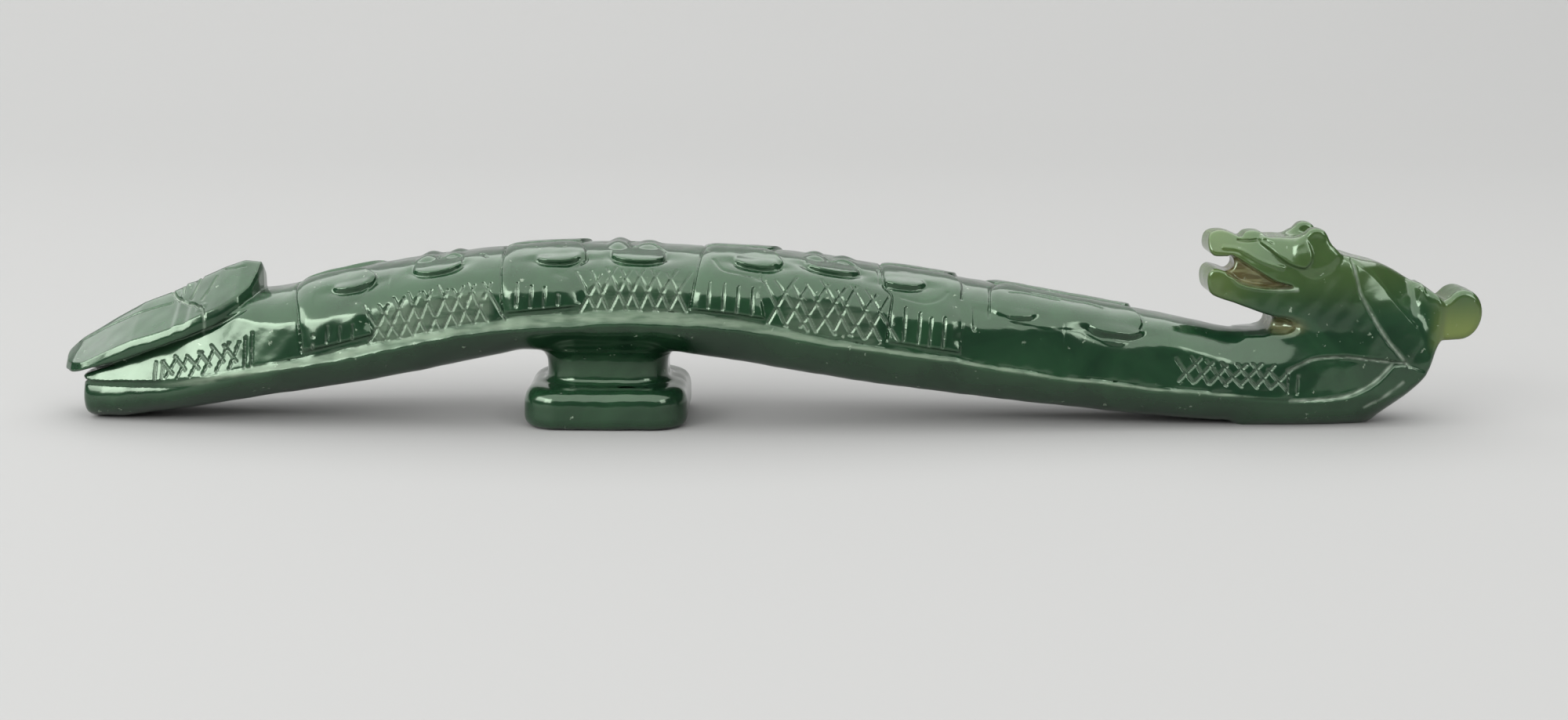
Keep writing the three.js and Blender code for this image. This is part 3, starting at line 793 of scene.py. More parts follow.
@dataclass
class DragonHead:
    """The bend of the hook and the dragon's head that it ends in, with jaws, brow, ears, mane and knob.

    Attributes:
        outline_points, ear_points, knob_points: Outlines seen from the side, over X and height.
        width_x, width_z: Where half its width is given, along X and in height.
        widths: Half its width, one row for each place along X.
        mane, lip, chin, nostril, scribed, groove, fold: Lines on its side, over X and height.
        dorsal: Where its flank turns over to its back, with the line called spine along it.
        mouth, brow: Areas on its side that are sunk and raised.
        mane_step, mane_slope: How far the neck lies back behind the mane's line, and how fast it thins from there.
        back_slope, back_reach, back_end: How fast the back slopes in behind dorsal, how far, and where that stops.
        hollow_depth, hollow_edge: Depth of the hollow between groove and fold, and width of its edge.
        throat, throat_half: Middle and half size of the hollow in its throat.
        low, high: Corners of its maps.
        reach: Lowest and highest X between which it is joined to the shank.
        blend: Width of the fillet between them.
    """

    outline_points: Points = (
        (47.25, 9.8), (47.2, 10.3), (46.5, 10.6), (43.9, 11.5), (42.2, 12.05), (41.5, 12.35), (41.15, 12.9),
        (41.0, 13.8), (41.2, 14.5), (41.7, 14.8), (42.5, 14.6), (43.1, 14.5), (43.5, 14.75), (43.68, 15.2),
        (43.5, 15.7), (42.9, 15.95), (42.2, 15.95), (41.6, 16.0), (41.2, 16.35), (41.05, 17.0), (41.15, 17.8),
        (41.6, 18.2), (42.4, 18.3), (43.1, 18.15), (43.8, 17.85), (44.25, 17.7), (44.6, 18.1), (45.2, 18.25),
        (46.0, 18.15), (46.5, 17.8), (47.1, 17.75), (48.2, 17.75), (50.0, 17.4), (52.0, 16.7), (53.4, 16.25),
        (55.5, 15.7), (57.6, 15.2), (59.4, 14.3), (61.5, 13.05), (62.6, 12.3), (63.0, 11.5), (63.05, 8.6),
        (62.7, 6.9), (62.2, 5.5), (61.5, 4.3), (60.4, 3.1), (59.0, 1.85), (57.6, 0.75), (56.2, 0.15), (52.0, 0.02),
        (47.0, 0.06), (44.0, 0.3), (44.0, 7.6), (46.4, 8.6), (47.0, 9.1))
    ear_points: Points = (
        (49.1, 17.4), (49.95, 18.3), (50.35, 18.65), (50.95, 18.75), (51.55, 18.5), (51.95, 17.95), (52.35, 17.1),
        (52.8, 16.3), (51.8, 15.5), (50.6, 15.1), (49.8, 15.6), (49.3, 16.6))
    knob_points: Points = (
        (61.0, 12.9), (62.3, 12.3), (63.1, 11.85), (63.8, 11.95), (64.5, 12.6), (65.3, 12.88), (66.2, 12.65),
        (66.85, 11.85), (67.12, 10.8), (66.95, 9.7), (66.4, 8.75), (65.5, 8.15), (64.2, 8.0), (63.2, 7.95),
        (62.4, 7.6), (61.0, 6.5))
    width_x: tuple[float, ...] = (40.8, 41.5, 42.3, 44, 46, 49, 52, 55, 58, 61, 63.5)
    width_z: tuple[float, ...] = (0, 3, 6, 9, 12, 15, 16.4, 17.4, 18.3)
    widths: tuple[tuple[float, ...], ...] = (
        (1.0, 1.0, 1.0, 1.0, 2.5, 2.4, 2.35, 1.9, 1.3),
        (2.4, 3.4, 2.9, 1.8, 2.6, 2.45, 2.35, 1.85, 1.2),
        (3.0, 4.2, 3.6, 2.4, 2.75, 2.55, 2.35, 1.8, 1.1),
        (3.1, 4.6, 4.2, 3.0, 2.95, 2.7, 2.3, 1.6, 0.9),
        (3.2, 4.8, 4.5, 3.4, 3.2, 2.95, 2.45, 1.8, 1.0),
        (3.3, 4.95, 4.6, 3.9, 3.65, 3.35, 2.9, 2.3, 1.5),
        (3.2, 4.8, 4.6, 4.0, 3.85, 3.6, 3.2, 2.8, 2.3),
        (2.9, 4.5, 4.4, 4.0, 3.8, 3.4, 3.0, 2.8, 2.4),
        (2.5, 4.1, 4.1, 3.9, 3.6, 3.0, 2.8, 2.6, 2.2),
        (2.1, 3.5, 3.7, 3.6, 3.3, 2.7, 2.4, 2.2, 2.0),
        (1.7, 2.9, 3.2, 3.2, 2.9, 2.4, 2.2, 2.0, 1.8),
    )
    mane: Cut = Cut(((54.2, 15.8), (54.45, 15.2), (54.69, 14.24), (55.08, 12.79), (55.99, 11.13), (57.58, 8.63),
                     (59.35, 6.54), (60.0, 5.8)), 0.42, 0.24)
    dorsal: Points = ((52.6, 16.6), (54.14, 15.86), (55.41, 15.14), (56.93, 13.89), (58.26, 12.23), (59.37, 10.98),
                      (60.68, 9.6), (61.5, 8.2), (62.0, 6.6), (62.2, 5.5))
    mouth: Points = ((43.0, 15.95), (43.7, 15.77), (44.53, 15.26), (45.38, 14.74), (46.23, 14.22), (47.29, 13.65),
                     (48.75, 13.25), (47.11, 13.1), (45.24, 13.25), (44.0, 13.6), (43.35, 14.1), (42.8, 14.5))
    brow: Points = ((45.8, 17.5), (47.0, 18.2), (49.4, 18.2), (50.3, 16.9), (50.4, 15.85), (49.9, 15.15),
                    (49.4, 15.1), (48.55, 15.35), (47.7, 15.85), (46.85, 16.55))
    lip: Cut = Cut(((42.4, 16.85), (43.62, 16.72), (44.46, 16.41), (45.51, 15.8), (46.56, 15.39), (47.8, 15.05)),
                   0.6, -0.14)
    chin: Cut = Cut(((43.3, 13.95), (44.0, 13.4), (45.24, 13.1), (47.11, 12.98), (49.17, 13.05)), 0.4, -0.12)
    nostril: Cut = Cut(((43.9, 17.4), (44.9, 17.35), (46.2, 17.5), (46.9, 17.2)), 0.4, 0.25)
    scribed: Cut = Cut(((56.0, 1.9), (57.3, 2.7), (58.5, 3.56), (59.5, 4.3)), 0.22, 0.08)
    groove: Cut = Cut(((36.3, 3.3), (42.5, 3.05), (48.7, 2.7), (52.8, 2.85), (54.8, 3.3), (56.8, 4.4), (58.4, 6.0)),
                      0.5, 0.24)
    fold: Cut = Cut(((48.4, 5.5), (49.5, 6.0), (51.0, 6.6), (53.7, 6.75), (56.9, 6.4), (59.6, 6.1)), 0.45, 0.2)
    spine: Cut = Cut(dorsal[1:7], 0.3, 0.1)
    brow_rise: float = 0.6
    mouth_depth: float = 1.2
    feature_edge: float = 0.35
    dust_width: float = 0.5
    ear_middle: float = 2.45
    ear_half: float = 0.8
    ear_rounding: float = 0.5
    ear_blend: float = 1.1
    knob_half: float = 2.4
    knob_rounding: float = 0.7
    knob_blend: float = 0.8
    mane_step: float = 0.12
    mane_slope: float = 0.1
    back_slope: float = 0.95
    back_reach: float = 2.6
    back_end: Pair = (63.4, -3.6)
    hollow_depth: float = 0.4
    hollow_edge: float = 0.7
    throat: Triple = (47.6, 3.9, 9.6)
    throat_half: Triple = (1.7, 1.5, 0.75)
    throat_rounding: float = 0.5
    low: Pair = (37.0, -2.0)
    high: Pair = (70.0, 21.0)
    reach: Pair = (38.0, 70.0)
    blend: float = 1.0

    @staticmethod
    def area(points: Points, low: Pair, high: Pair, rounding: float) -> Chart:
        """A map of the distance, seen from the side, to a smooth outline.

        Args:
            points: Points of the outline.
            low: Lowest corner of the map.
            high: Highest corner of the map.
            rounding: Width over which its corners are rounded.

        Returns:
            The map.
        """
        chart = Chart(low, high)
        chart.value = chart.from_area(smooth(points, True, 3), WHOLE)
        chart.soften(rounding)
        return chart

    def blank(self) -> Chart:
        """An empty map of the bend and the head, over X and height."""
        return Chart(self.low, self.high)

    @cached_property
    def outline(self) -> Chart:
        """Distance, seen from the side, to the outline of the bend and the head."""
        return self.area(self.outline_points, self.low, self.high, 0.25)

    @cached_property
    def ear_outline(self) -> Chart:
        """Distance, seen from the side, to the outline of an ear."""
        return self.area(self.ear_points, (46.5, 12.5), (56.0, 21.0), 0.3)

    @cached_property
    def knob_outline(self) -> Chart:
        """Distance, seen from the side, to the outline of the knob."""
        return self.area(self.knob_points, (58.5, 4.5), (70.0, 15.5), 0.3)

    @cached_property
    def width(self) -> Chart:
        """Half the width of the bend and the head, seen from the side, with the carving of their cheeks.

        Returns:
            A map over X and height.
        """
        chart = self.blank()
        across, up = chart.u[:, 0], chart.v[0]
        rows = np.array([np.interp(up, self.width_z, row) for row in self.widths])
        chart.value = np.array([np.interp(across, self.width_x, rows[:, k]) for k in range(len(up))]).T
        chart.soften(1.2)
        behind = chart.from_area(self.mane.points + ((75.0, 0.0), (75.0, 25.0), (54.2, 25.0)), WHOLE)
        chart.value -= self.mane_step * fade(0.5 - behind / 0.3) + self.mane_slope * np.clip(-behind, 0.0, 3.0)
        back = chart.from_area(smooth(self.dorsal) + ((75.0, 0.0), (75.0, 25.0), (52.6, 25.0)), WHOLE)
        chart.value -= self.back_slope * np.clip(-back, 0.0, self.back_reach) * ease(chart.u, *self.back_end)
        chart.carve(self.spine, self.mane)
        chart.raise_area(smooth(self.brow, True), self.brow_rise, self.feature_edge)
        chart.raise_area(smooth(self.mouth, True), -self.mouth_depth, self.feature_edge)
        chart.carve(self.lip, self.chin, self.nostril, self.scribed)
        hollow = smooth(self.groove.points[2:]) + smooth(self.fold.points)[::-1]
        chart.raise_area(hollow, -self.hollow_depth, self.hollow_edge)
        chart.carve(self.groove, self.fold)
        chart.soften(0.16)
        return chart

    @cached_property
    def cave(self) -> Chart:
        """Where the hollow of the mouth lies.

        Returns:
            A map of its share, 0 to 1.
        """
        chart = self.blank()
        chart.raise_area(smooth(self.mouth, True), 1.0, 0.5)
        return chart

    @cached_property
    def chalk(self) -> Chart:
        """Where stone powder, with a painted sheen, has stayed in the incised lines of the head and the bend.

        Returns:
            A map of its share, 0 to 1.
        """
        chart = self.blank()
        for line in (self.mane.points, self.groove.points[2:], self.fold.points, self.scribed.points,
                     self.chin.points):
            chart.carve(Cut(line, self.dust_width, -1.0))
        chart.value = np.clip(chart.value, 0.0, 1.0)
        return chart

    def distance(self, x: Array, y: Array, z: Array) -> Array:
        """Signed distance to the bend and the head.

        Args:
            x: Places along X.
            y: Places across, as distances from the middle plane.
            z: Heights.

        Returns:
            The distances, negative inside.
        """
        side = self.outline.read(x, z)
        flank = (y - self.width.read(x, z)) * 0.9
        rounding = 0.35 + 0.2 * ease(x, 44.0, 5.0) + ease(z, 5.5, -4.0)
        head = overlap(side, flank, rounding)
        knob = overlap(self.knob_outline.read(x, z), y - self.knob_half, self.knob_rounding)
        head = join(head, knob, self.knob_blend)
        ear = overlap(self.ear_outline.read(x, z), np.abs(y - self.ear_middle) - self.ear_half, self.ear_rounding)
        head = join(head, ear, self.ear_blend)
        a, b, c = ((value - self.throat[k]) / self.throat_half[k] for k, value in enumerate((x, y, z)))
        return cut(head, (np.sqrt(a**2 + b**2 + c**2) - 1.0) * 0.9, self.throat_rounding)


class Member(Enum):
    """The nodes of the frame, in the order in which the skin is parted."""

    TAIL_HEAD = "tail_head"
    SHANK = "shank"
    STEM = "stem"
    BUTTON = "button"
    HOOK_NECK = "hook_neck"
    DRAGON_HEAD = "dragon_head"
    MANE_KNOB = "mane_knob"


@dataclass
class Parting:
    """Where the skin is parted into the members of the frame.

    Attributes:
        tail, neck, knob: Upright planes, as places along X.
        head: Level plane under the head, which parts from head_from on along X.
        stem, button: Level planes over the stem and the button, which part within button_reach of button_centre.
        shank_cuts: Upright planes that part the shank into smaller pieces.
    """

    tail: float = -45.3
    neck: float = 37.3
    head: float = 9.6
    head_from: float = 40.6
    knob: float = 62.8
    stem: float = 6.4
    button: float = Button.top
    button_centre: float = Button.centre
    button_reach: float = 9.0
    shank_cuts: tuple[float, ...] = (-31.3, -17.4, -3.2, 9.3, 23.0)

    def labels(self, x: Array, z: Array) -> Array:
        """Tells which piece each face belongs to.

        Args:
            x: Middle of each face along X.
            z: Middle of each face in height.

        Returns:
            A number for each face: the member's place in the list, and FIRST_SHANK and up for the shank's pieces.
        """
        members = list(Member)
        label = FIRST_SHANK + np.searchsorted(self.shank_cuts, x)
        label[x < self.tail] = members.index(Member.TAIL_HEAD)
        label[x > self.neck] = members.index(Member.HOOK_NECK)
        label[(z > self.head) & (x > self.head_from)] = members.index(Member.DRAGON_HEAD)
        label[x > self.knob] = members.index(Member.MANE_KNOB)
        below = np.abs(x - self.button_centre) < self.button_reach
        label[below & (z < self.stem)] = members.index(Member.STEM)
        label[below & (z < self.button)] = members.index(Member.BUTTON)
        return label

    def planes(self) -> tuple[tuple[int, float, float, float], ...]:
        """Lists the parting planes.

        Returns:
            For each plane its axis and place, and the lowest and highest X at which it parts.
        """
        low, high = self.button_centre - self.button_reach, self.button_centre + self.button_reach
        upright = tuple((0, at, at - 1.0, at + 1.0) for at in (self.tail, self.neck, self.knob) + self.shank_cuts)
        return upright + ((2, self.head, self.head_from, 99.0), (2, self.stem, low, high),
                          (2, self.button, low, high))


@dataclass
class Skin:
    """The surface of the stone as vertices and four-sided faces, in millimetres."""

    points: Array
    faces: Array
    marks: dict[str, Array] = field(default_factory=dict)


class Stone:
    """The whole carved stone: its members as one solid, and the skin cut from it.

    Attributes:
        UNEVENNESS: How far the surface wanders.
        BLOCK: Lattice steps along one side of a block whose distances are first taken roughly.
        NEAR: How many blocks from the surface they are taken exactly.
        PORTION: Points whose distances are worked out at a time.
        SPAN: Length, half width and height of the lattice.
        TAIL_SIDE: Lowest X of the lattice.
        BELOW: Lowest height of the lattice.
        ROUNDS: How often the skin is drawn to the solid, by STRIDE at most.
        FLATTEST: Least square of the slope that is reckoned with then.
    """

    UNEVENNESS = 0.035
    BLOCK = 4
    NEAR = 2.2
    PORTION = 400000
    SPAN = (138.0, 9.6, 21.6)
    TAIL_SIDE = -69.0
    BELOW = -1.2
    ROUNDS = 3
    STRIDE = 0.15
    FLATTEST = 0.09

    def __init__(self, spacing: float) -> None:
        """Sets up the members.

        Args:
            spacing: Distance between two points of the lattice from which the skin is made.
        """
        self.spacing = spacing
        self.shank = Shank()
        self.button = Button()
        self.tail = TailHead()
        self.head = DragonHead()
        self.parting = Parting()

    def distance(self, x: Array, y: Array, z: Array) -> Array:
        """Signed distance to the stone.

        Args:
            x: Places along X.
            y: Places across.
            z: Heights.

        Returns:
            The distances, negative inside.
        """
        y = np.abs(y)
        result = self.shank.distance(x, y, z)
        for member in (self.button, self.tail, self.head):
            near = (x > member.reach[0]) & (x < member.reach[1])
            if near.any():
                result[near] = join(result[near], member.distance(x[near], y[near], z[near]), member.blend)
        near = x < self.tail.reach[1]
        if near.any():
            result[near] = cut(result[near], self.tail.slot(x[near], y[near], z[near]), self.tail.slot_edge)
        return result - self.UNEVENNESS * wander(x, y, z)

    def lattice(self) -> tuple[Array, Array]:
        """Fills a lattice with distances, exactly near the surface and roughly elsewhere.

        Returns:
            The distances, and the lowest corner of the lattice.
        """
        block, step = self.BLOCK, self.spacing
        counts = np.array([math.ceil(span / step / block) for span in self.SPAN])
        low = np.array([self.TAIL_SIDE, -(counts[1] * block - 0.5) * step, self.BELOW])
        centres = [low[k] + (np.arange(counts[k]) + 0.5 - 0.5 / block) * block * step for k in range(3)]
        rough = self.distance(*(g.ravel() for g in np.meshgrid(*centres, indexing="ij"))).reshape(counts)
        result = rough.repeat(block, 0).repeat(block, 1).repeat(block, 2).astype(np.float32)
        near = np.argwhere(np.abs(rough) < self.NEAR * block * step)
        inner = np.stack(np.meshgrid(*[np.arange(block)] * 3, indexing="ij"), -1).reshape(-1, 3)
        cells = (near[:, None, :] * block + inner[None]).reshape(-1, 3)
        for part in np.array_split(cells, max(1, len(cells) // self.PORTION)):
            at = low + part * step
            result[part[:, 0], part[:, 1], part[:, 2]] = self.distance(at[:, 0], at[:, 1], at[:, 2])
        return np.concatenate([result, result[:, ::-1]], 1), low

    def skin(self) -> Skin:
        """Makes the skin of the stone.

        Returns:
            The skin, drawn tight to the solid and straight along the parting planes.
        """
        distances, low = self.lattice()
        points, faces = self.nets(distances)
        points = low + points * self.spacing
        held = self.held(points, faces)
        for _ in range(self.ROUNDS):
            value, slope = self.slopes(points)
            slope[held] = 0.0
            size = np.maximum((slope**2).sum(1), self.FLATTEST)
            points = points - slope * np.clip(value / size, -self.STRIDE, self.STRIDE)[:, None]
        return Skin(points, faces)

    def slopes(self, points: Array) -> tuple[Array, Array]:
        """The distance and its slope at some points.

        Args:
            points: The points.

        Returns:
            The distances and the slopes.
        """
        small = 0.02
        value = self.distance(*points.T)
        slope = np.empty_like(points)
        for axis in range(3):
            moved = points.copy()
            moved[:, axis] += small
            slope[:, axis] = (self.distance(*moved.T) - value) / small
        return value, slope

    def held(self, points: Array, faces: Array) -> Array:
        """Moves the vertices between two pieces onto their parting plane, and says which lengths then stay.

        Args:
            points: Vertices of the skin, which are moved in place.
            faces: Its faces.

        Returns:
            For each vertex and axis, whether its place is held.
        """
        centres = points[faces].mean(1)
        label = self.parting.labels(centres[:, 0], centres[:, 2])
        lowest = np.full(len(points), label.max())
        highest = np.full(len(points), label.min())
        for corner in faces.T:
            np.minimum.at(lowest, corner, label)
            np.maximum.at(highest, corner, label)
        shared = lowest != highest
        held = np.zeros(points.shape, bool)
        for axis, place, low, high in self.parting.planes():
            near = shared & (np.abs(points[:, axis] - place) < 1.1 * self.spacing)
            near &= (points[:, 0] > low) & (points[:, 0] < high)
            points[near, axis] = place
            held[near, axis] = True
        return held

    @staticmethod
    def nets(distances: Array) -> tuple[Array, Array]:
        """Draws a net of four-sided faces round the inside of a lattice.

        Args:
            distances: Signed distances on the lattice.

        Returns:
            Vertices in lattice steps, and faces that look outwards.
        """
        inside = distances < 0
        size = np.array(inside.shape)
        corners = [np.array((i, j, k)) for i in (0, 1) for j in (0, 1) for k in (0, 1)]
        total = np.zeros(size - 1, np.int8)
        for c in corners:
            total += inside[c[0] : size[0] - 1 + c[0], c[1] : size[1] - 1 + c[1], c[2] : size[2] - 1 + c[2]]
        mixed = (total > 0) & (total < 8)
        cells = np.argwhere(mixed)
        index = np.full(total.shape, -1)
        index[mixed] = np.arange(len(cells))
        place = np.zeros(cells.shape)
        crossings = np.zeros(len(cells))
        for a in corners:
            for axis in range(3):
                if a[axis]:
                    continue
                b = a.copy()
                b[axis] = 1
                fa = distances[tuple((cells + a).T)].astype(float)
                fb = distances[tuple((cells + b).T)].astype(float)
                crossed = (fa < 0) != (fb < 0)
                share = np.where(crossed, fa / np.where(crossed, fa - fb, 1.0), 0.0)
                place += np.where(crossed[:, None], a + share[:, None] * (b - a), 0.0)
                crossings += crossed
        points = cells + place / crossings[:, None]
        faces = []
        for axis in range(3):
            first, second = (axis + 1) % 3, (axis + 2) % 3
            near = [slice(1, -1)] * 3
            near[axis] = slice(0, -1)
            far = [slice(1, -1)] * 3
            far[axis] = slice(1, None)
            here, there = inside[tuple(near)], inside[tuple(far)]
            for leaving, turned in ((here & ~there, False), (~here & there, True)):
                at = np.argwhere(leaving)
                at[:, first] += 1
                at[:, second] += 1
                ring = []
                for da, db in ((1, 1), (0, 1), (0, 0), (1, 0)):
                    cell = at.copy()
                    cell[:, first] -= da
                    cell[:, second] -= db
                    ring.append(index[tuple(cell.T)])
                faces.append(np.stack(ring[::-1] if turned else ring, 1))
        return points, np.concatenate(faces)


def add_object(name: str, data: bpy.types.ID) -> bpy.types.Object:
    """Makes an object of a mesh, a lamp or a camera.

    Args:
        name: Name of the object.
        data: What it shows.

    Returns:
        The object, which is in the scene.
    """
    thing = bpy.data.objects.new(name, data)
    bpy.context.scene.collection.objects.link(thing)
    return thing


def make_mesh(name: str, points: Array, loops: Array, counts: Array) -> bpy.types.Mesh:
    """Makes a mesh from arrays.

    Args:
        name: Name of the mesh.
        points: Its vertices.
        loops: Numbers of the vertices round each face, one face after another.
        counts: Number of corners of each face.

    Returns:
        The mesh.
    """
    mesh = bpy.data.meshes.new(name)
    mesh.vertices.add(len(points))
    mesh.vertices.foreach_set("co", points.astype(np.float32).ravel())
    mesh.loops.add(len(loops))
    mesh.loops.foreach_set("vertex_index", loops.astype(np.int32))
    mesh.polygons.add(len(counts))
    mesh.polygons.foreach_set("loop_start", (np.cumsum(counts) - counts).astype(np.int32))
    mesh.update(calc_edges=True)
    return mesh


class Tree:
    """Builds one node tree, with short calls for its nodes."""

    def __init__(self, tree: bpy.types.NodeTree) -> None:
        """Empties a tree and starts on it."""
        tree.nodes.clear()
        self.tree = tree

    def sockets(self, side: str, kind: str, *names: str) -> None:
        """Adds sockets of one kind to the group, on its INPUT or OUTPUT side."""
        for name in names:
            self.tree.interface.new_socket(name, in_out=side, socket_type="NodeSocket" + kind)

    def node(self, kind: str, values: dict[str | int, object] | None = None, **settings: object) -> bpy.types.Node:
        """Adds a node.

        Args:
            kind: Blender's name of the node type.
            values: Values or sockets for its inputs, by name or number.
            **settings: Properties of the node.

        Returns:
            The node.
        """
        node = self.tree.nodes.new(kind)
        for name, value in settings.items():
            setattr(node, name, value)
        for key, value in (values or {}).items():
            socket = node.inputs[key]
            if isinstance(value, bpy.types.NodeSocket):
                self.tree.links.new(value, socket)
            else:
                socket.default_value = value
        return node

    def maths(self, operation: str, a: object, b: object = 0.0, clamp: bool = False) -> bpy.types.NodeSocket:
        """Adds a Math node and returns its result."""
        return self.node("ShaderNodeMath", {0: a, 1: b}, operation=operation, use_clamp=clamp).outputs[0]

    def times(self, a: object, b: object) -> bpy.types.NodeSocket:
        """Multiplies two values and returns the result."""
        return self.maths("MULTIPLY", a, b)

    def vector(self, **parts: object) -> bpy.types.NodeSocket:
        """Joins the parts X, Y and Z to a vector and returns it."""
        return self.node("ShaderNodeCombineXYZ", parts).outputs[0]

    def scaled(self, vector: object, scale: object) -> bpy.types.NodeSocket:
        """Scales a vector and returns the result."""
        return self.node("ShaderNodeVectorMath", {0: vector, "Scale": scale}, operation="SCALE").outputs[0]

    def noise(self, place: object, scale: object, detail: float, **more: object) -> bpy.types.Node:
        """Adds a Noise Texture node, read at a place."""
        return self.node("ShaderNodeTexNoise", {"Vector": place, "Scale": scale, "Detail": detail, **more})

    def mix(self, factor: object, a: object, b: object) -> bpy.types.NodeSocket:
        """Mixes two colours, given as triples or sockets, and returns the result."""
        a, b = (colour + (1.0,) if isinstance(colour, tuple) else colour for colour in (a, b))
        return self.node("ShaderNodeMix", {0: factor, 6: a, 7: b}, data_type="RGBA").outputs[2]

    def ramp(self, value: object, low: float, high: float) -> bpy.types.NodeSocket:
        """Eases a value between two limits to 0..1 and returns the result."""
        node = self.node("ShaderNodeMapRange", {0: value, 1: low, 2: high}, interpolation_type="SMOOTHSTEP")
        return node.outputs[0]


@dataclass(frozen=True)
class StrokeBand:
    """A row of like strokes cut into the side of the stone.

    Attributes:
        first: Middle of the first stroke along X.
        count: Number of strokes.
        spacing: Distance between two strokes.
        lean: How much further along X the upper end lies than the lower end.
        low: Angle of the lower ends about the groove's level, as a share of a right angle.
        high: Angle of the upper ends.
        first_level: Height of the groove at the first stroke.
        last_level: Height of the groove at the last stroke.
        jitter: How far the hand strays.
    """

    first: float
    count: int
    spacing: float
    lean: float
    low: float
    high: float
    first_level: float
    last_level: float
    jitter: float = 0.16


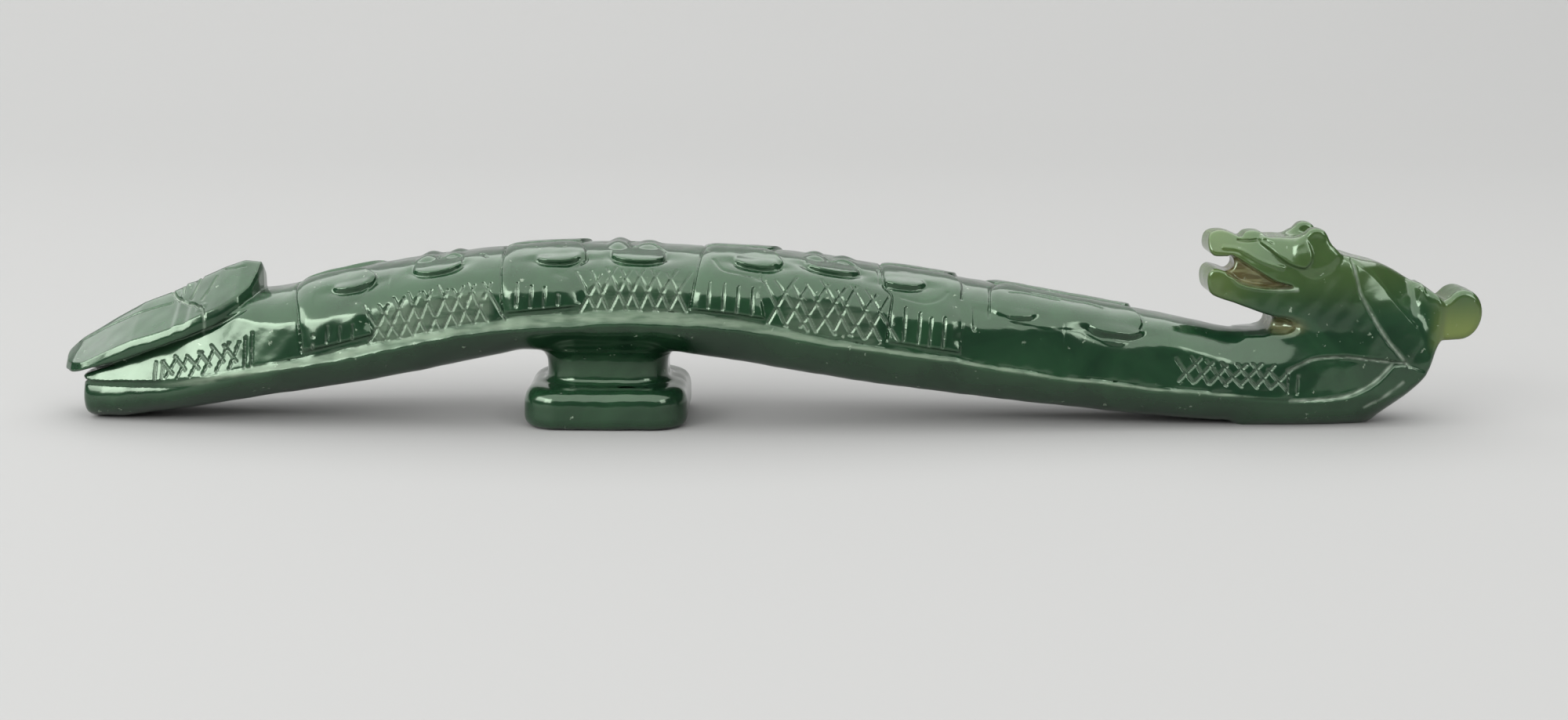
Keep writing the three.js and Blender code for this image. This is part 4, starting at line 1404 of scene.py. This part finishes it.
class Engraving:
    """The strokes on both sides, laid out and cut by Geometry Nodes.

    Attributes:
        BANDS: The bands on the near side. The place of a band in the list is the seed of its strays.
        WIDTH: Width of a stroke.
        DEPTH: Depth of a stroke.
        PARTS: Number of points along a stroke.
    """

    BANDS = (
        StrokeBand(-36.2, 8, 1.38, 1.75, 0.06, 0.37, 7.6, 9.6),
        StrokeBand(-36.6, 9, 1.38, -1.9, 0.06, 0.38, 7.6, 9.8),
        StrokeBand(-16.6, 7, 1.35, 1.8, 0.07, 0.39, 10.6, 10.6),
        StrokeBand(-17.0, 7, 1.4, -1.8, 0.07, 0.41, 10.6, 10.6),
        StrokeBand(1.0, 7, 1.5, 2.5, 0.07, 0.44, 9.4, 8.0),
        StrokeBand(0.4, 8, 1.4, -2.6, 0.06, 0.44, 9.4, 8.0),
        StrokeBand(39.1, 7, 1.45, 1.85, 0.11, 0.35, 3.7, 3.0, 0.1),
        StrokeBand(38.7, 7, 1.45, -1.7, 0.1, 0.34, 3.7, 3.0, 0.1),
        StrokeBand(48.5, 2, 0.9, 0.1, 0.07, 0.3, 2.95, 2.9, 0.04),
        StrokeBand(-56.1, 6, 1.27, 1.05, 0.06, 0.3, 3.8, 5.0, 0.1),
        StrokeBand(-56.3, 6, 1.2, -1.2, 0.12, 0.3, 3.8, 5.0, 0.1),
        StrokeBand(-57.5, 2, 0.7, 0.05, 0.06, 0.26, 3.75, 3.8, 0.04),
        StrokeBand(-48.8, 2, 0.7, 0.1, 0.06, 0.34, 5.1, 5.3, 0.04),
        StrokeBand(-42.3, 4, 1.28, 0.1, 0.12, 0.24, 6.4, 7.3, 0.1),
        StrokeBand(-23.3, 4, 1.3, 0.15, 0.13, 0.3, 10.1, 10.4, 0.1),
        StrokeBand(-5.6, 4, 1.32, 0.2, 0.12, 0.33, 10.3, 9.6, 0.1),
        StrokeBand(12.4, 4, 1.2, 0.25, 0.1, 0.34, 7.4, 6.9, 0.1),
    )
    WIDTH = 0.32
    DEPTH = 0.16
    PARTS = 14

    def band_tree(self) -> bpy.types.NodeTree:
        """Builds the group that lays out one band of strokes on the stone.

        Returns:
            The group. Its output is the strokes as edges on the near side.
        """
        tree = bpy.data.node_groups.new("stroke_band", "GeometryNodeTree")
        draw = Tree(tree)
        draw.sockets("INPUT", "Geometry", "stone")
        draw.sockets("INPUT", "Float", *(item.name for item in fields(StrokeBand) if item.type is float))
        draw.sockets("INPUT", "Int", "count", "seed")
        draw.sockets("OUTPUT", "Geometry", "strokes")
        given = draw.node("NodeGroupInput").outputs
        line = draw.node("GeometryNodeMeshLine", {
            "Count": given["count"], "Start Location": draw.vector(X=given["first"]),
            "Offset": draw.vector(X=given["spacing"])}, mode="OFFSET", count_mode="TOTAL")
        stray = draw.node("FunctionNodeRandomValue", {
            0: (-1.0, 0.0, 0.0), 1: (1.0, 0.0, 0.0), "Seed": given["seed"]}, data_type="FLOAT_VECTOR")
        spine = draw.node("GeometryNodeSetPosition", {
            "Geometry": line.outputs[0], "Offset": draw.scaled(stray.outputs[0], given["jitter"])})
        stroke = draw.node("GeometryNodeCurvePrimitiveLine", {
            "Start": draw.vector(X=draw.times(given["lean"], -0.5), Y=given["low"]),
            "End": draw.vector(X=draw.times(given["lean"], 0.5), Y=given["high"])}, mode="POINTS")
        size = draw.node("FunctionNodeRandomValue", {
            0: (0.85, 0.88, 1.0), 1: (1.15, 1.08, 1.0), "Seed": given["seed"]}, data_type="FLOAT_VECTOR")
        rows = draw.node("GeometryNodeInstanceOnPoints", {
            "Points": spine.outputs[0], "Instance": stroke.outputs[0], "Scale": size.outputs[0]})
        flat = draw.node("GeometryNodeRealizeInstances", {0: rows.outputs[0]})
        fine = draw.node("GeometryNodeResampleCurve", {"Curve": flat.outputs[0], "Count": self.PARTS})
        chart = draw.node("ShaderNodeSeparateXYZ", {0: draw.node("GeometryNodeInputPosition").outputs[0]}).outputs
        reach = draw.times(given["spacing"], draw.maths("SUBTRACT", given["count"], 1.0))
        level = draw.node("ShaderNodeMapRange", {
            0: chart["X"], 1: given["first"], 2: draw.maths("ADD", given["first"], reach), 3: given["first_level"],
            4: given["last_level"]}).outputs[0]
        angle = draw.times(chart["Y"], 0.5 * math.pi)
        aim = draw.vector(Y=draw.times(draw.maths("COSINE", angle), -1.0), Z=draw.maths("SINE", angle))
        ray = draw.node("GeometryNodeRaycast", {
            "Target Geometry": given["stone"], "Source Position": draw.vector(X=chart["X"], Z=level),
            "Ray Direction": aim, "Ray Length": 30.0})
        laid = draw.node("GeometryNodeSetPosition", {
            "Geometry": fine.outputs[0], "Position": ray.outputs["Hit Position"]})
        edges = draw.node("GeometryNodeCurveToMesh", {"Curve": laid.outputs[0]})
        draw.node("NodeGroupOutput", {0: edges.outputs[0]})
        return tree

    def cut_tree(self, material: bpy.types.Material) -> bpy.types.NodeTree:
        """Builds the tree that cuts every band into the stone and marks the cuts.

        Args:
            material: The material that the tree leaves on the stone.

        Returns:
            The tree, with the width and depth of a stroke as inputs.
        """
        band_tree = self.band_tree()
        tree = bpy.data.node_groups.new("engraved_stone", "GeometryNodeTree")
        draw = Tree(tree)
        draw.sockets("INPUT", "Geometry", "Geometry")
        draw.sockets("INPUT", "Float", "Width", "Depth")
        draw.sockets("OUTPUT", "Geometry", "Geometry")
        given = draw.node("NodeGroupInput").outputs
        near = draw.node("GeometryNodeJoinGeometry")
        for seed, band in enumerate(self.BANDS):
            values = asdict(band) | {"seed": seed, "stone": given["Geometry"]}
            row = draw.node("GeometryNodeGroup", values, node_tree=band_tree)
            tree.links.new(row.outputs[0], near.inputs[0])
        far = draw.node("GeometryNodeTransform", {"Geometry": near.outputs[0], "Scale": (1.0, -1.0, 1.0)})
        both = draw.node("GeometryNodeJoinGeometry")
        for side in (near, far):
            tree.links.new(side.outputs[0], both.inputs[0])
        close = draw.node("GeometryNodeProximity", {0: both.outputs[0]}, target_element="EDGES")
        share = draw.node("ShaderNodeMapRange", {
            0: close.outputs["Distance"], 1: 0.0, 2: draw.times(given["Width"], 0.5), 3: 1.0, 4: 0.0},
            interpolation_type="SMOOTHSTEP").outputs[0]
        deep = draw.times(share, draw.times(given["Depth"], -1.0))
        push = draw.scaled(draw.node("GeometryNodeInputNormal").outputs[0], deep)
        carved = draw.node("GeometryNodeSetPosition", {"Geometry": given["Geometry"], "Offset": push})
        marked = draw.node("GeometryNodeStoreNamedAttribute", {
            "Geometry": carved.outputs[0], "Name": "incision", "Value": share}, data_type="FLOAT", domain="POINT")
        real = draw.node("GeometryNodeRealizeInstances", {0: marked.outputs[0]})
        clad = draw.node("GeometryNodeSetMaterial", {"Geometry": real.outputs[0], "Material": material})
        draw.node("NodeGroupOutput", {0: clad.outputs[0]})
        return tree

    def cut(self, skin: Skin, material: bpy.types.Material) -> None:
        """Cuts the strokes into the skin, and marks them on it.

        Args:
            skin: The skin, whose points are moved.
            material: The material of the stone.
        """
        mesh = make_mesh("blank", skin.points, skin.faces.ravel(), np.full(len(skin.faces), 4))
        blank = add_object("blank", mesh)
        modifier = blank.modifiers.new("engraving", "NODES")
        modifier.node_group = self.cut_tree(material)
        sizes = {"Width": self.WIDTH, "Depth": self.DEPTH}
        for item in modifier.node_group.interface.items_tree:
            if item.in_out == "INPUT" and item.name in sizes:
                modifier[item.identifier] = sizes[item.name]
        graph = bpy.context.evaluated_depsgraph_get()
        result = bpy.data.meshes.new_from_object(blank.evaluated_get(graph))
        points = np.empty(len(result.vertices) * 3, np.float32)
        result.vertices.foreach_get("co", points)
        marks = np.empty(len(result.vertices), np.float32)
        result.attributes["incision"].data.foreach_get("value", marks)
        skin.points = points.reshape(-1, 3).astype(float)
        skin.marks["incision"] = marks
        bpy.data.objects.remove(blank)
        for used in (mesh, result):
            bpy.data.meshes.remove(used)


class StoneGrain:
    """Node group: the cloudy colour, the pale flecks and the fine unevenness inside polished nephrite."""

    NAME = "stone_grain"

    @classmethod
    def tree(cls) -> bpy.types.NodeTree:
        """Builds the group once.

        Returns:
            The group, with scales as inputs and Cloud, Fleck and Height as outputs.
        """
        if cls.NAME in bpy.data.node_groups:
            return bpy.data.node_groups[cls.NAME]
        tree = bpy.data.node_groups.new(cls.NAME, "ShaderNodeTree")
        for name, value in (("Cloud Scale", 120.0), ("Fleck Scale", 900.0), ("Grain Scale", 1500.0)):
            socket = tree.interface.new_socket(name, in_out="INPUT", socket_type="NodeSocketFloat")
            socket.default_value = value
        draw = Tree(tree)
        draw.sockets("OUTPUT", "Float", "Cloud", "Fleck", "Height")
        given = draw.node("NodeGroupInput").outputs
        place = draw.node("ShaderNodeTexCoord").outputs["Object"]
        slow = draw.noise(place, given["Cloud Scale"], 5.0, Roughness=0.55, Distortion=0.8)
        cloud = draw.ramp(slow.outputs["Fac"], 0.32, 0.68)
        shift = draw.scaled(draw.noise(place, 2500.0, 2.0).outputs["Color"], 0.0009)
        moved = draw.node("ShaderNodeVectorMath", {0: place, 1: shift}, operation="ADD")
        cells = draw.node("ShaderNodeTexVoronoi", {"Vector": moved.outputs[0], "Scale": given["Fleck Scale"]})
        rare = draw.noise(place, 330.0, 1.0).outputs["Fac"]
        fleck = draw.times(draw.ramp(cells.outputs["Distance"], 0.16, 0.06), draw.ramp(rare, 0.5, 0.6))
        fine = draw.noise(place, given["Grain Scale"], 3.0).outputs["Fac"]
        broad = draw.noise(place, 420.0, 2.0).outputs["Fac"]
        height = draw.maths("ADD", draw.times(fine, 0.25), broad)
        draw.node("NodeGroupOutput", {0: cloud, 1: fleck, 2: height})
        return tree


@dataclass(frozen=True)
class JadeFinish:
    """One polished jade.

    Attributes:
        name: Name of the material.
        deep: Colour of the dark clouds.
        clear: Colour of the light clouds.
        pale: Colour that the stone turns to in the dragon's head.
        thin: Painted glow: colour that stands in for light coming through where the stone is slender.
        ground: Colour of what was ground and never polished.
        scratch: Colour of the strokes cut with a fine wheel: stone powder with a painted sheen, pale to stand in for
            light that the rough strokes reflect.
        dirt: Colour of what has settled in the hollows.
        crust: Colour of the pale crystals in it.
        fleck: Colour of the pale flecks in the stone.
        sheen: Tint of what the stone reflects.
        depth: How far red, green and blue light go under the surface, as shares of 0.8 mm.
        glow: Share of light that is scattered under the surface.
        polish: Roughness of the polished skin.
        coat: Share of a clear coat on the polished skin.
        cloud_scale: How small the clouds are.
    """

    name: str
    deep: Triple
    clear: Triple
    pale: Triple
    thin: Triple
    ground: Triple = (0.09, 0.12, 0.085)
    scratch: Triple = (0.26, 0.31, 0.25)
    dirt: Triple = (0.075, 0.055, 0.022)
    crust: Triple = (0.16, 0.15, 0.075)
    fleck: Triple = (0.3, 0.36, 0.28)
    sheen: Triple = (0.76, 1.0, 0.74)
    depth: Triple = (0.45, 1.0, 0.5)
    glow: float = 0.35
    polish: float = 0.15
    coat: float = 0.12
    cloud_scale: float = 130.0

    def material(self) -> bpy.types.Material:
        """Builds the material.

        Returns:
            The material, with its colour, roughness and bump from nodes.
        """
        material = bpy.data.materials.new(self.name)
        material.use_nodes = True
        draw = Tree(material.node_tree)
        grain = draw.node("ShaderNodeGroup", {"Cloud Scale": self.cloud_scale}, node_tree=StoneGrain.tree()).outputs
        marks = {name: draw.node("ShaderNodeAttribute", attribute_name=name).outputs["Fac"]
                 for name in ("ground", "hollow", "thin", "pale", "incision", "chalk")}
        place = draw.node("ShaderNodeTexCoord").outputs["Object"]
        along = draw.node("ShaderNodeMapping", {"Vector": place, "Scale": (350.0, 1700.0, 1700.0)})
        streak = draw.noise(along.outputs[0], 1.0, 3.0).outputs["Fac"]
        rubbed = draw.times(marks["ground"], draw.ramp(streak, 0.25, 0.6))
        # Stone powder in the cuts with a painted sheen: a pale colour that stands in for light reflected off the
        # rough strokes.
        dust_and_sheen = draw.times(draw.maths("MAXIMUM", marks["incision"], marks["chalk"]), 0.8)
        settled = draw.mix(draw.ramp(streak, 0.4, 0.6), self.dirt, self.crust)
        colour = draw.mix(grain["Cloud"], self.deep, self.clear)
        for share, layer in (
            (marks["pale"], self.pale), (marks["thin"], self.thin), (rubbed, self.ground), (dust_and_sheen, self.scratch),
            (marks["hollow"], settled), (draw.times(grain["Fleck"], 0.5), self.fleck),
        ):
            colour = draw.mix(share, colour, layer)
        rough = draw.maths("MULTIPLY_ADD", marks["ground"], 0.3)
        rough.node.inputs[2].default_value = self.polish
        gloss = draw.maths("SUBTRACT", 1.0, marks["ground"], clamp=True)
        bump = draw.node("ShaderNodeBump", {"Strength": 0.12, "Distance": 0.0002, "Height": grain["Height"]})
        shader = draw.node("ShaderNodeBsdfPrincipled", {
            "Base Color": colour, "Roughness": rough, "IOR": 1.62, "Coat Weight": draw.times(gloss, self.coat),
            "Coat Roughness": 0.08, "Coat IOR": 1.6, "Specular Tint": self.sheen + (1.0,),
            "Subsurface Weight": self.glow, "Subsurface Scale": 0.0008, "Subsurface Radius": self.depth,
            "Normal": bump.outputs["Normal"]})
        draw.node("ShaderNodeOutputMaterial", {"Surface": shader.outputs[0]})
        return material


SPINACH_JADE = JadeFinish("spinach_jade", deep=(0.005, 0.02, 0.009), clear=(0.0105, 0.036, 0.0155),
                          pale=(0.033, 0.062, 0.019), thin=(0.1, 0.128, 0.03))
PALE_JADE = replace(SPINACH_JADE, name="pale_jade")


@dataclass(frozen=True)
class Softbox:
    """One soft light.

    Attributes:
        name: Name of the light.
        place: Where its middle hangs.
        aim: Where it looks.
        size: Its width and height.
        strength: How bright it looks.
    """

    name: str
    place: Triple
    aim: Triple
    size: Pair
    strength: float


@dataclass
class Studio:
    """Floor, softboxes and camera.

    Attributes:
        lens, sensor: Focal length of the camera and width of its picture.
        elevation, roll: Degrees that the camera looks down and is turned about its view.
        distance, target: How far the camera stands from the place that it looks at, in the stone's millimetres.
        floor_colour: Colour of the floor.
        floor_half, floor_front: Half the width of the floor and its front edge, in metres.
        sweep_from, sweep_radius, sweep_top: Where the floor starts to sweep up, how, and how high it goes.
        room_colour, room_strength: Light from all round.
    """

    lens: float = 50.4
    sensor: float = 36.0
    elevation: float = 10.9
    roll: float = -0.3
    distance: float = 210.0
    target: Triple = (1.05, 0.0, 5.42)
    floor_colour: Triple = (0.265, 0.265, 0.26)
    floor_half: float = 3.5
    floor_front: float = -2.5
    sweep_from: float = 0.25
    sweep_radius: float = 0.45
    sweep_top: float = 2.5
    room_colour: Triple = (0.9, 0.95, 1.0)
    room_strength: float = 0.1
    softboxes: tuple[Softbox, ...] = (
        Softbox("softbox_above", (-0.15, -0.13, 0.45), (-0.15, -0.13, 0.0), (1.6, 1.64), 2.35),
        Softbox("softbox_left", (-0.86, -0.33, 0.44), (0.0, 0.0, 0.0), (0.55, 0.4), 6.0),
        Softbox("softbox_right", (0.62, -0.7, 0.4), (0.0, 0.0, 0.0), (0.36, 0.36), 5.0),
        Softbox("softbox_front", (-0.64, -0.8, 0.42), (0.0, 0.0, 0.0), (0.5, 0.42), 10.0),
    )

    def build(self) -> None:
        """Builds the whole studio."""
        self.floor()
        self.lights()
        self.camera()

    def floor(self) -> None:
        """Builds a pale floor that sweeps up into a backdrop."""
        start, radius, gap = self.sweep_from, self.sweep_radius, 0.00002
        profile = [(self.floor_front, 0.0), (start, 0.0)]
        profile += [(start + radius * math.sin(a), radius - radius * math.cos(a)) for a in np.linspace(0.1, 1.57, 16)]
        profile += [(start + radius, self.sweep_top)]
        points = [(x, y, z - gap) for y, z in profile for x in (-self.floor_half, self.floor_half)]
        faces = [(2 * k, 2 * k + 1, 2 * k + 3, 2 * k + 2) for k in range(len(profile) - 1)]
        mesh = bpy.data.meshes.new("floor")
        mesh.from_pydata(points, [], faces)
        for polygon in mesh.polygons:
            polygon.use_smooth = True
        material = bpy.data.materials.new("pale_floor")
        material.use_nodes = True
        draw = Tree(material.node_tree)
        place = draw.node("ShaderNodeTexCoord").outputs["Object"]
        slow = draw.noise(place, 6.0, 2.0)
        colour = draw.mix(slow.outputs["Fac"], self.floor_colour, tuple(0.97 * c for c in self.floor_colour))
        shader = draw.node("ShaderNodeBsdfPrincipled", {"Base Color": colour, "Roughness": 0.7})
        draw.node("ShaderNodeOutputMaterial", {"Surface": shader.outputs[0]})
        mesh.materials.append(material)
        add_object("floor", mesh)

    def lights(self) -> None:
        """Hangs softboxes over and round the belt hook, and fills the room with dim grey light."""
        for softbox in self.softboxes:
            light = bpy.data.lights.new(softbox.name, "AREA")
            light.shape = "RECTANGLE"
            light.size, light.size_y = softbox.size
            light.energy = softbox.strength * math.pi * softbox.size[0] * softbox.size[1]
            lamp = add_object(softbox.name, light)
            lamp.location = softbox.place
            way = Vector(softbox.aim) - Vector(softbox.place)
            lamp.rotation_euler = way.to_track_quat("-Z", "Y").to_euler()
        world = bpy.data.worlds.new("room")
        world.use_nodes = True
        background = world.node_tree.nodes["Background"].inputs
        background["Color"].default_value = self.room_colour + (1.0,)
        background["Strength"].default_value = self.room_strength
        bpy.context.scene.world = world

    def camera(self) -> None:
        """Places the camera as in the photograph."""
        data = bpy.data.cameras.new("camera")
        data.lens = self.lens
        data.sensor_width = self.sensor
        data.clip_start, data.clip_end = 0.005, 20.0
        camera = add_object("camera", data)
        rise = math.radians(self.elevation)
        back = Vector((0.0, -math.cos(rise), math.sin(rise))) * self.distance
        camera.location = (Vector(self.target) + back) * MM
        camera.rotation_euler = (math.pi / 2 - rise, math.radians(self.roll), 0.0)
        bpy.context.scene.camera = camera


@dataclass(frozen=True)
class Wear:
    """Where the skin is ground, hollow, lit by a painted glow, holding stone powder with a painted sheen, or pale.

    Attributes:
        stone: The stone.
        tail_run, bend_run: Where the ground ledge fades out, along X.
        frost_top, frost_foot: Where a field's unpolished ground ends, above the groove.
        frost_end: Length over which it ends along X.
        throat, throat_half: Middle and half size of the soiled throat, over X and height.
        jaw: Where the lower jaw gets a painted glow of light coming through it, along X, in height and along X.
        knob: Where the knob gets a painted glow of light coming through it, along X and in height.
        cheek_dust: Where stone powder with a painted sheen may lie on the head, across and along X.
        brow_dust: Where stone powder with a painted sheen may lie on the bill, along X and in height.
        dust_top: How high above the groove the strokes hold stone powder and a painted sheen.
        pale: Where the stone turns pale, in height and along X.

    Each pair is where a change starts and the length, upwards or downwards, that it takes.
    """

    stone: Stone
    tail_run: Pair = (-60.0, 8.0)
    bend_run: Pair = (57.0, -6.0)
    frost_top: Pair = (4.4, -1.6)
    frost_foot: Pair = (0.0, 0.3)
    frost_end: float = 1.0
    throat: Pair = (48.2, 9.6)
    throat_half: Pair = (2.2, 1.0)
    jaw: tuple[Pair, Pair, Pair] = ((46.5, -5.0), (10.5, 2.0), (39.0, 1.0))
    knob: tuple[Pair, Pair, Pair] = ((61.5, 2.5), (13.5, -5.0), (6.5, 1.5))
    cheek_dust: tuple[Pair, Pair] = ((1.2, 0.6), (46.0, 3.0))
    brow_dust: tuple[Pair, Pair] = ((-48.0, -1.0), (8.0, 1.0))
    dust_top: Pair = (3.4, -1.4)
    pale: tuple[Pair, Pair] = ((10.0, 5.0), (39.0, 3.0))

    def ground(self, x: Array, y: Array, z: Array) -> Array:
        """Share of the skin that was ground and never polished: the ledge, and the fields round the strokes.

        Args:
            x: Places along X.
            y: Places across.
            z: Heights.

        Returns:
            The share at each place.
        """
        shank = self.stone.shank
        ledge = shank.ledge.at(x)
        top = shank.groove.at(x) + 0.5 * ledge
        off = np.abs(np.abs(y) - shank.half.at(x) + 0.5 * ledge) + np.abs(z - top + 0.5 * ledge)
        ground = fade(1.35 - off / (0.7 * ledge)) * ease(x, *self.bend_run) * ease(x, *self.tail_run)
        rise = z - shank.groove.at(x)
        for start, end, share in shank.frosted:
            ends = ease(x, start, self.frost_end) * ease(x, end, -self.frost_end)
            ground = np.maximum(ground, share * ends * ease(rise, *self.frost_top) * ease(rise, *self.frost_foot))
        return ground

    def mark(self, skin: Skin) -> None:
        """Works out the marks of every vertex and keeps them on the skin.

        Args:
            skin: The skin to mark.
        """
        x, y, z = skin.points.T
        head, tail = self.stone.head, self.stone.tail
        throat = fade(1.2 - np.hypot((x - self.throat[0]) / self.throat_half[0],
                                     (z - self.throat[1]) / self.throat_half[1]))
        jaw = ease(x, *self.jaw[0]) * ease(z, *self.jaw[1]) * ease(x, *self.jaw[2])
        knob = ease(x, *self.knob[0]) * ease(z, *self.knob[1]) * ease(z, *self.knob[2])
        worn = 0.55 + 0.45 * wander(3.0 * x, 3.0 * y, 3.0 * z)
        lines = head.chalk.read(x, z) * ease(np.abs(y), *self.cheek_dust[0]) * ease(x, *self.cheek_dust[1])
        brow = tail.chalk.read(x, np.abs(y)) * ease(x, *self.brow_dust[0]) * ease(z, *self.brow_dust[1])
        skin.marks |= {
            "ground": self.ground(x, y, z),
            "hollow": np.clip(head.cave.read(x, z) + 0.6 * throat, 0.0, 0.85),
            # The jaw and the knob get a painted glow: colour that stands in for light coming through the stone.
            "thin": np.clip(jaw * 0.3 + knob, 0.0, 1.0),
            "chalk": np.clip(lines + 1.8 * brow, 0.0, 1.0) * worn,
            "pale": ease(z, *self.pale[0]) * ease(x, *self.pale[1]),
        }

    def wipe(self, skin: Skin) -> None:
        """Leaves less stone powder and painted sheen in the upper ends of the strokes."""
        rise = skin.points[:, 2] - self.stone.shank.groove.at(skin.points[:, 0])
        skin.marks["incision"] *= 0.3 + 0.7 * ease(rise, *self.dust_top)


class BeltHook:
    """The dressed belt hook: carves the skin, parts it and hands each piece to the frame.

    Attributes:
        SLOTS: The finish of the members that aren't of the darker jade.
        FINE: Spacing of the lattice.
        COARSE: A coarser spacing for a quick build, which nothing here uses.
        ON_PLANE: How near to a parting plane a vertex on it lies.
    """

    SLOTS = {Member.DRAGON_HEAD: PALE_JADE, Member.MANE_KNOB: PALE_JADE}
    FINE = 0.1125
    COARSE = 0.25
    ON_PLANE = 1e-3

    def __init__(self) -> None:
        """Chooses the fineness of the skin."""
        self.stone = Stone(self.FINE)
        self.materials = {finish.name: finish.material() for finish in (SPINACH_JADE, PALE_JADE)}

    def build(self) -> None:
        """Carves the stone and makes one object of each piece."""
        skin = self.stone.skin()
        LOG.info("skin: %d vertices, %d faces", len(skin.points), len(skin.faces))
        wear = Wear(self.stone)
        wear.mark(skin)
        Engraving().cut(skin, self.materials[SPINACH_JADE.name])
        wear.wipe(skin)
        normals = self.normals(skin)
        centres = skin.points[skin.faces].mean(1)
        label = self.stone.parting.labels(centres[:, 0], centres[:, 2])
        for number in np.unique(label):
            shank = number >= FIRST_SHANK
            member = Member.SHANK if shank else list(Member)[number]
            name = f"{member.value}_{number - FIRST_SHANK + 1}" if shank else member.value
            self.piece("jade_" + name, member, skin, skin.faces[label == number], normals)

    @staticmethod
    def normals(skin: Skin) -> Array:
        """The direction in which each vertex of the whole skin looks.

        Args:
            skin: The skin.

        Returns:
            A unit vector for each vertex.
        """
        a, b, c, d = (skin.points[corner] for corner in skin.faces.T)
        faces = np.cross(c - a, d - b)
        normals = np.zeros_like(skin.points)
        for corner in skin.faces.T:
            for axis in range(3):
                normals[:, axis] += np.bincount(corner, faces[:, axis], len(normals))
        return normals / np.maximum(np.linalg.norm(normals, axis=1), 1e-12)[:, None]

    def piece(self, name: str, member: Member, skin: Skin, faces: Array, normals: Array) -> None:
        """Makes one closed object of a part of the skin.

        Args:
            name: Name of the object.
            member: The node of the frame that it stands for.
            skin: The whole skin.
            faces: The faces of this piece.
            normals: Directions of the vertices of the whole skin.
        """
        used, local = np.unique(faces, return_inverse=True)
        local = local.reshape(faces.shape)
        points, looks = skin.points[used], normals[used]
        marks = {key: value[used] for key, value in skin.marks.items()}
        starts, ends = local.ravel(), np.roll(local, -1, 1).ravel()
        size = len(points)
        forward, backward = starts * size + ends, ends * size + starts
        loose = ~np.isin(forward, backward)
        caps = []
        starts, ends = starts[loose], ends[loose]
        for axis, place, low, high in self.stone.parting.planes():
            on = (points[starts, 0] > low) & (points[starts, 0] < high)
            for edge in (starts, ends):
                on &= np.abs(points[edge, axis] - place) < self.ON_PLANE
            if on.any():
                caps.append(np.stack([ends[on], starts[on], np.full(on.sum(), len(points))], 1))
                rim = points[starts[on]]
                points = np.vstack([points, rim.mean(0)])
                away = np.zeros(3)
                away[axis] = np.sign(place - points[:size, axis].mean())
                looks = np.vstack([looks, away])
                marks = {key: np.append(value, 0.0) for key, value in marks.items()}
        loops = np.concatenate([local.ravel()] + [cap.ravel() for cap in caps])
        counts = np.repeat((4, 3), (len(local), sum(len(cap) for cap in caps)))
        mesh = make_mesh(name, points * MM, loops, counts)
        mesh.validate()
        for key, value in marks.items():
            layer = mesh.attributes.new(key, "FLOAT", "POINT")
            layer.data.foreach_set("value", value.astype(np.float32))
        mesh.polygons.foreach_set("use_smooth", np.ones(len(mesh.polygons), bool))
        mesh.normals_split_custom_set_from_vertices(looks.astype(np.float32))
        finish = self.SLOTS.get(member, SPINACH_JADE)
        mesh.materials.append(self.materials[finish.name])
        thing = add_object(name, mesh)
        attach(thing, "root")
        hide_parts(member.value)
        LOG.info("%s: %d faces for %s", name, len(counts), member.value)


def main() -> None:
    """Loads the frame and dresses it."""
    logging.basicConfig(level=logging.INFO, format="%(name)s: %(message)s")
    bpy.context.scene.view_settings.view_transform = "Standard"
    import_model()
    BeltHook().build()
    Studio().build()


if __name__ == "__main__":
    main()
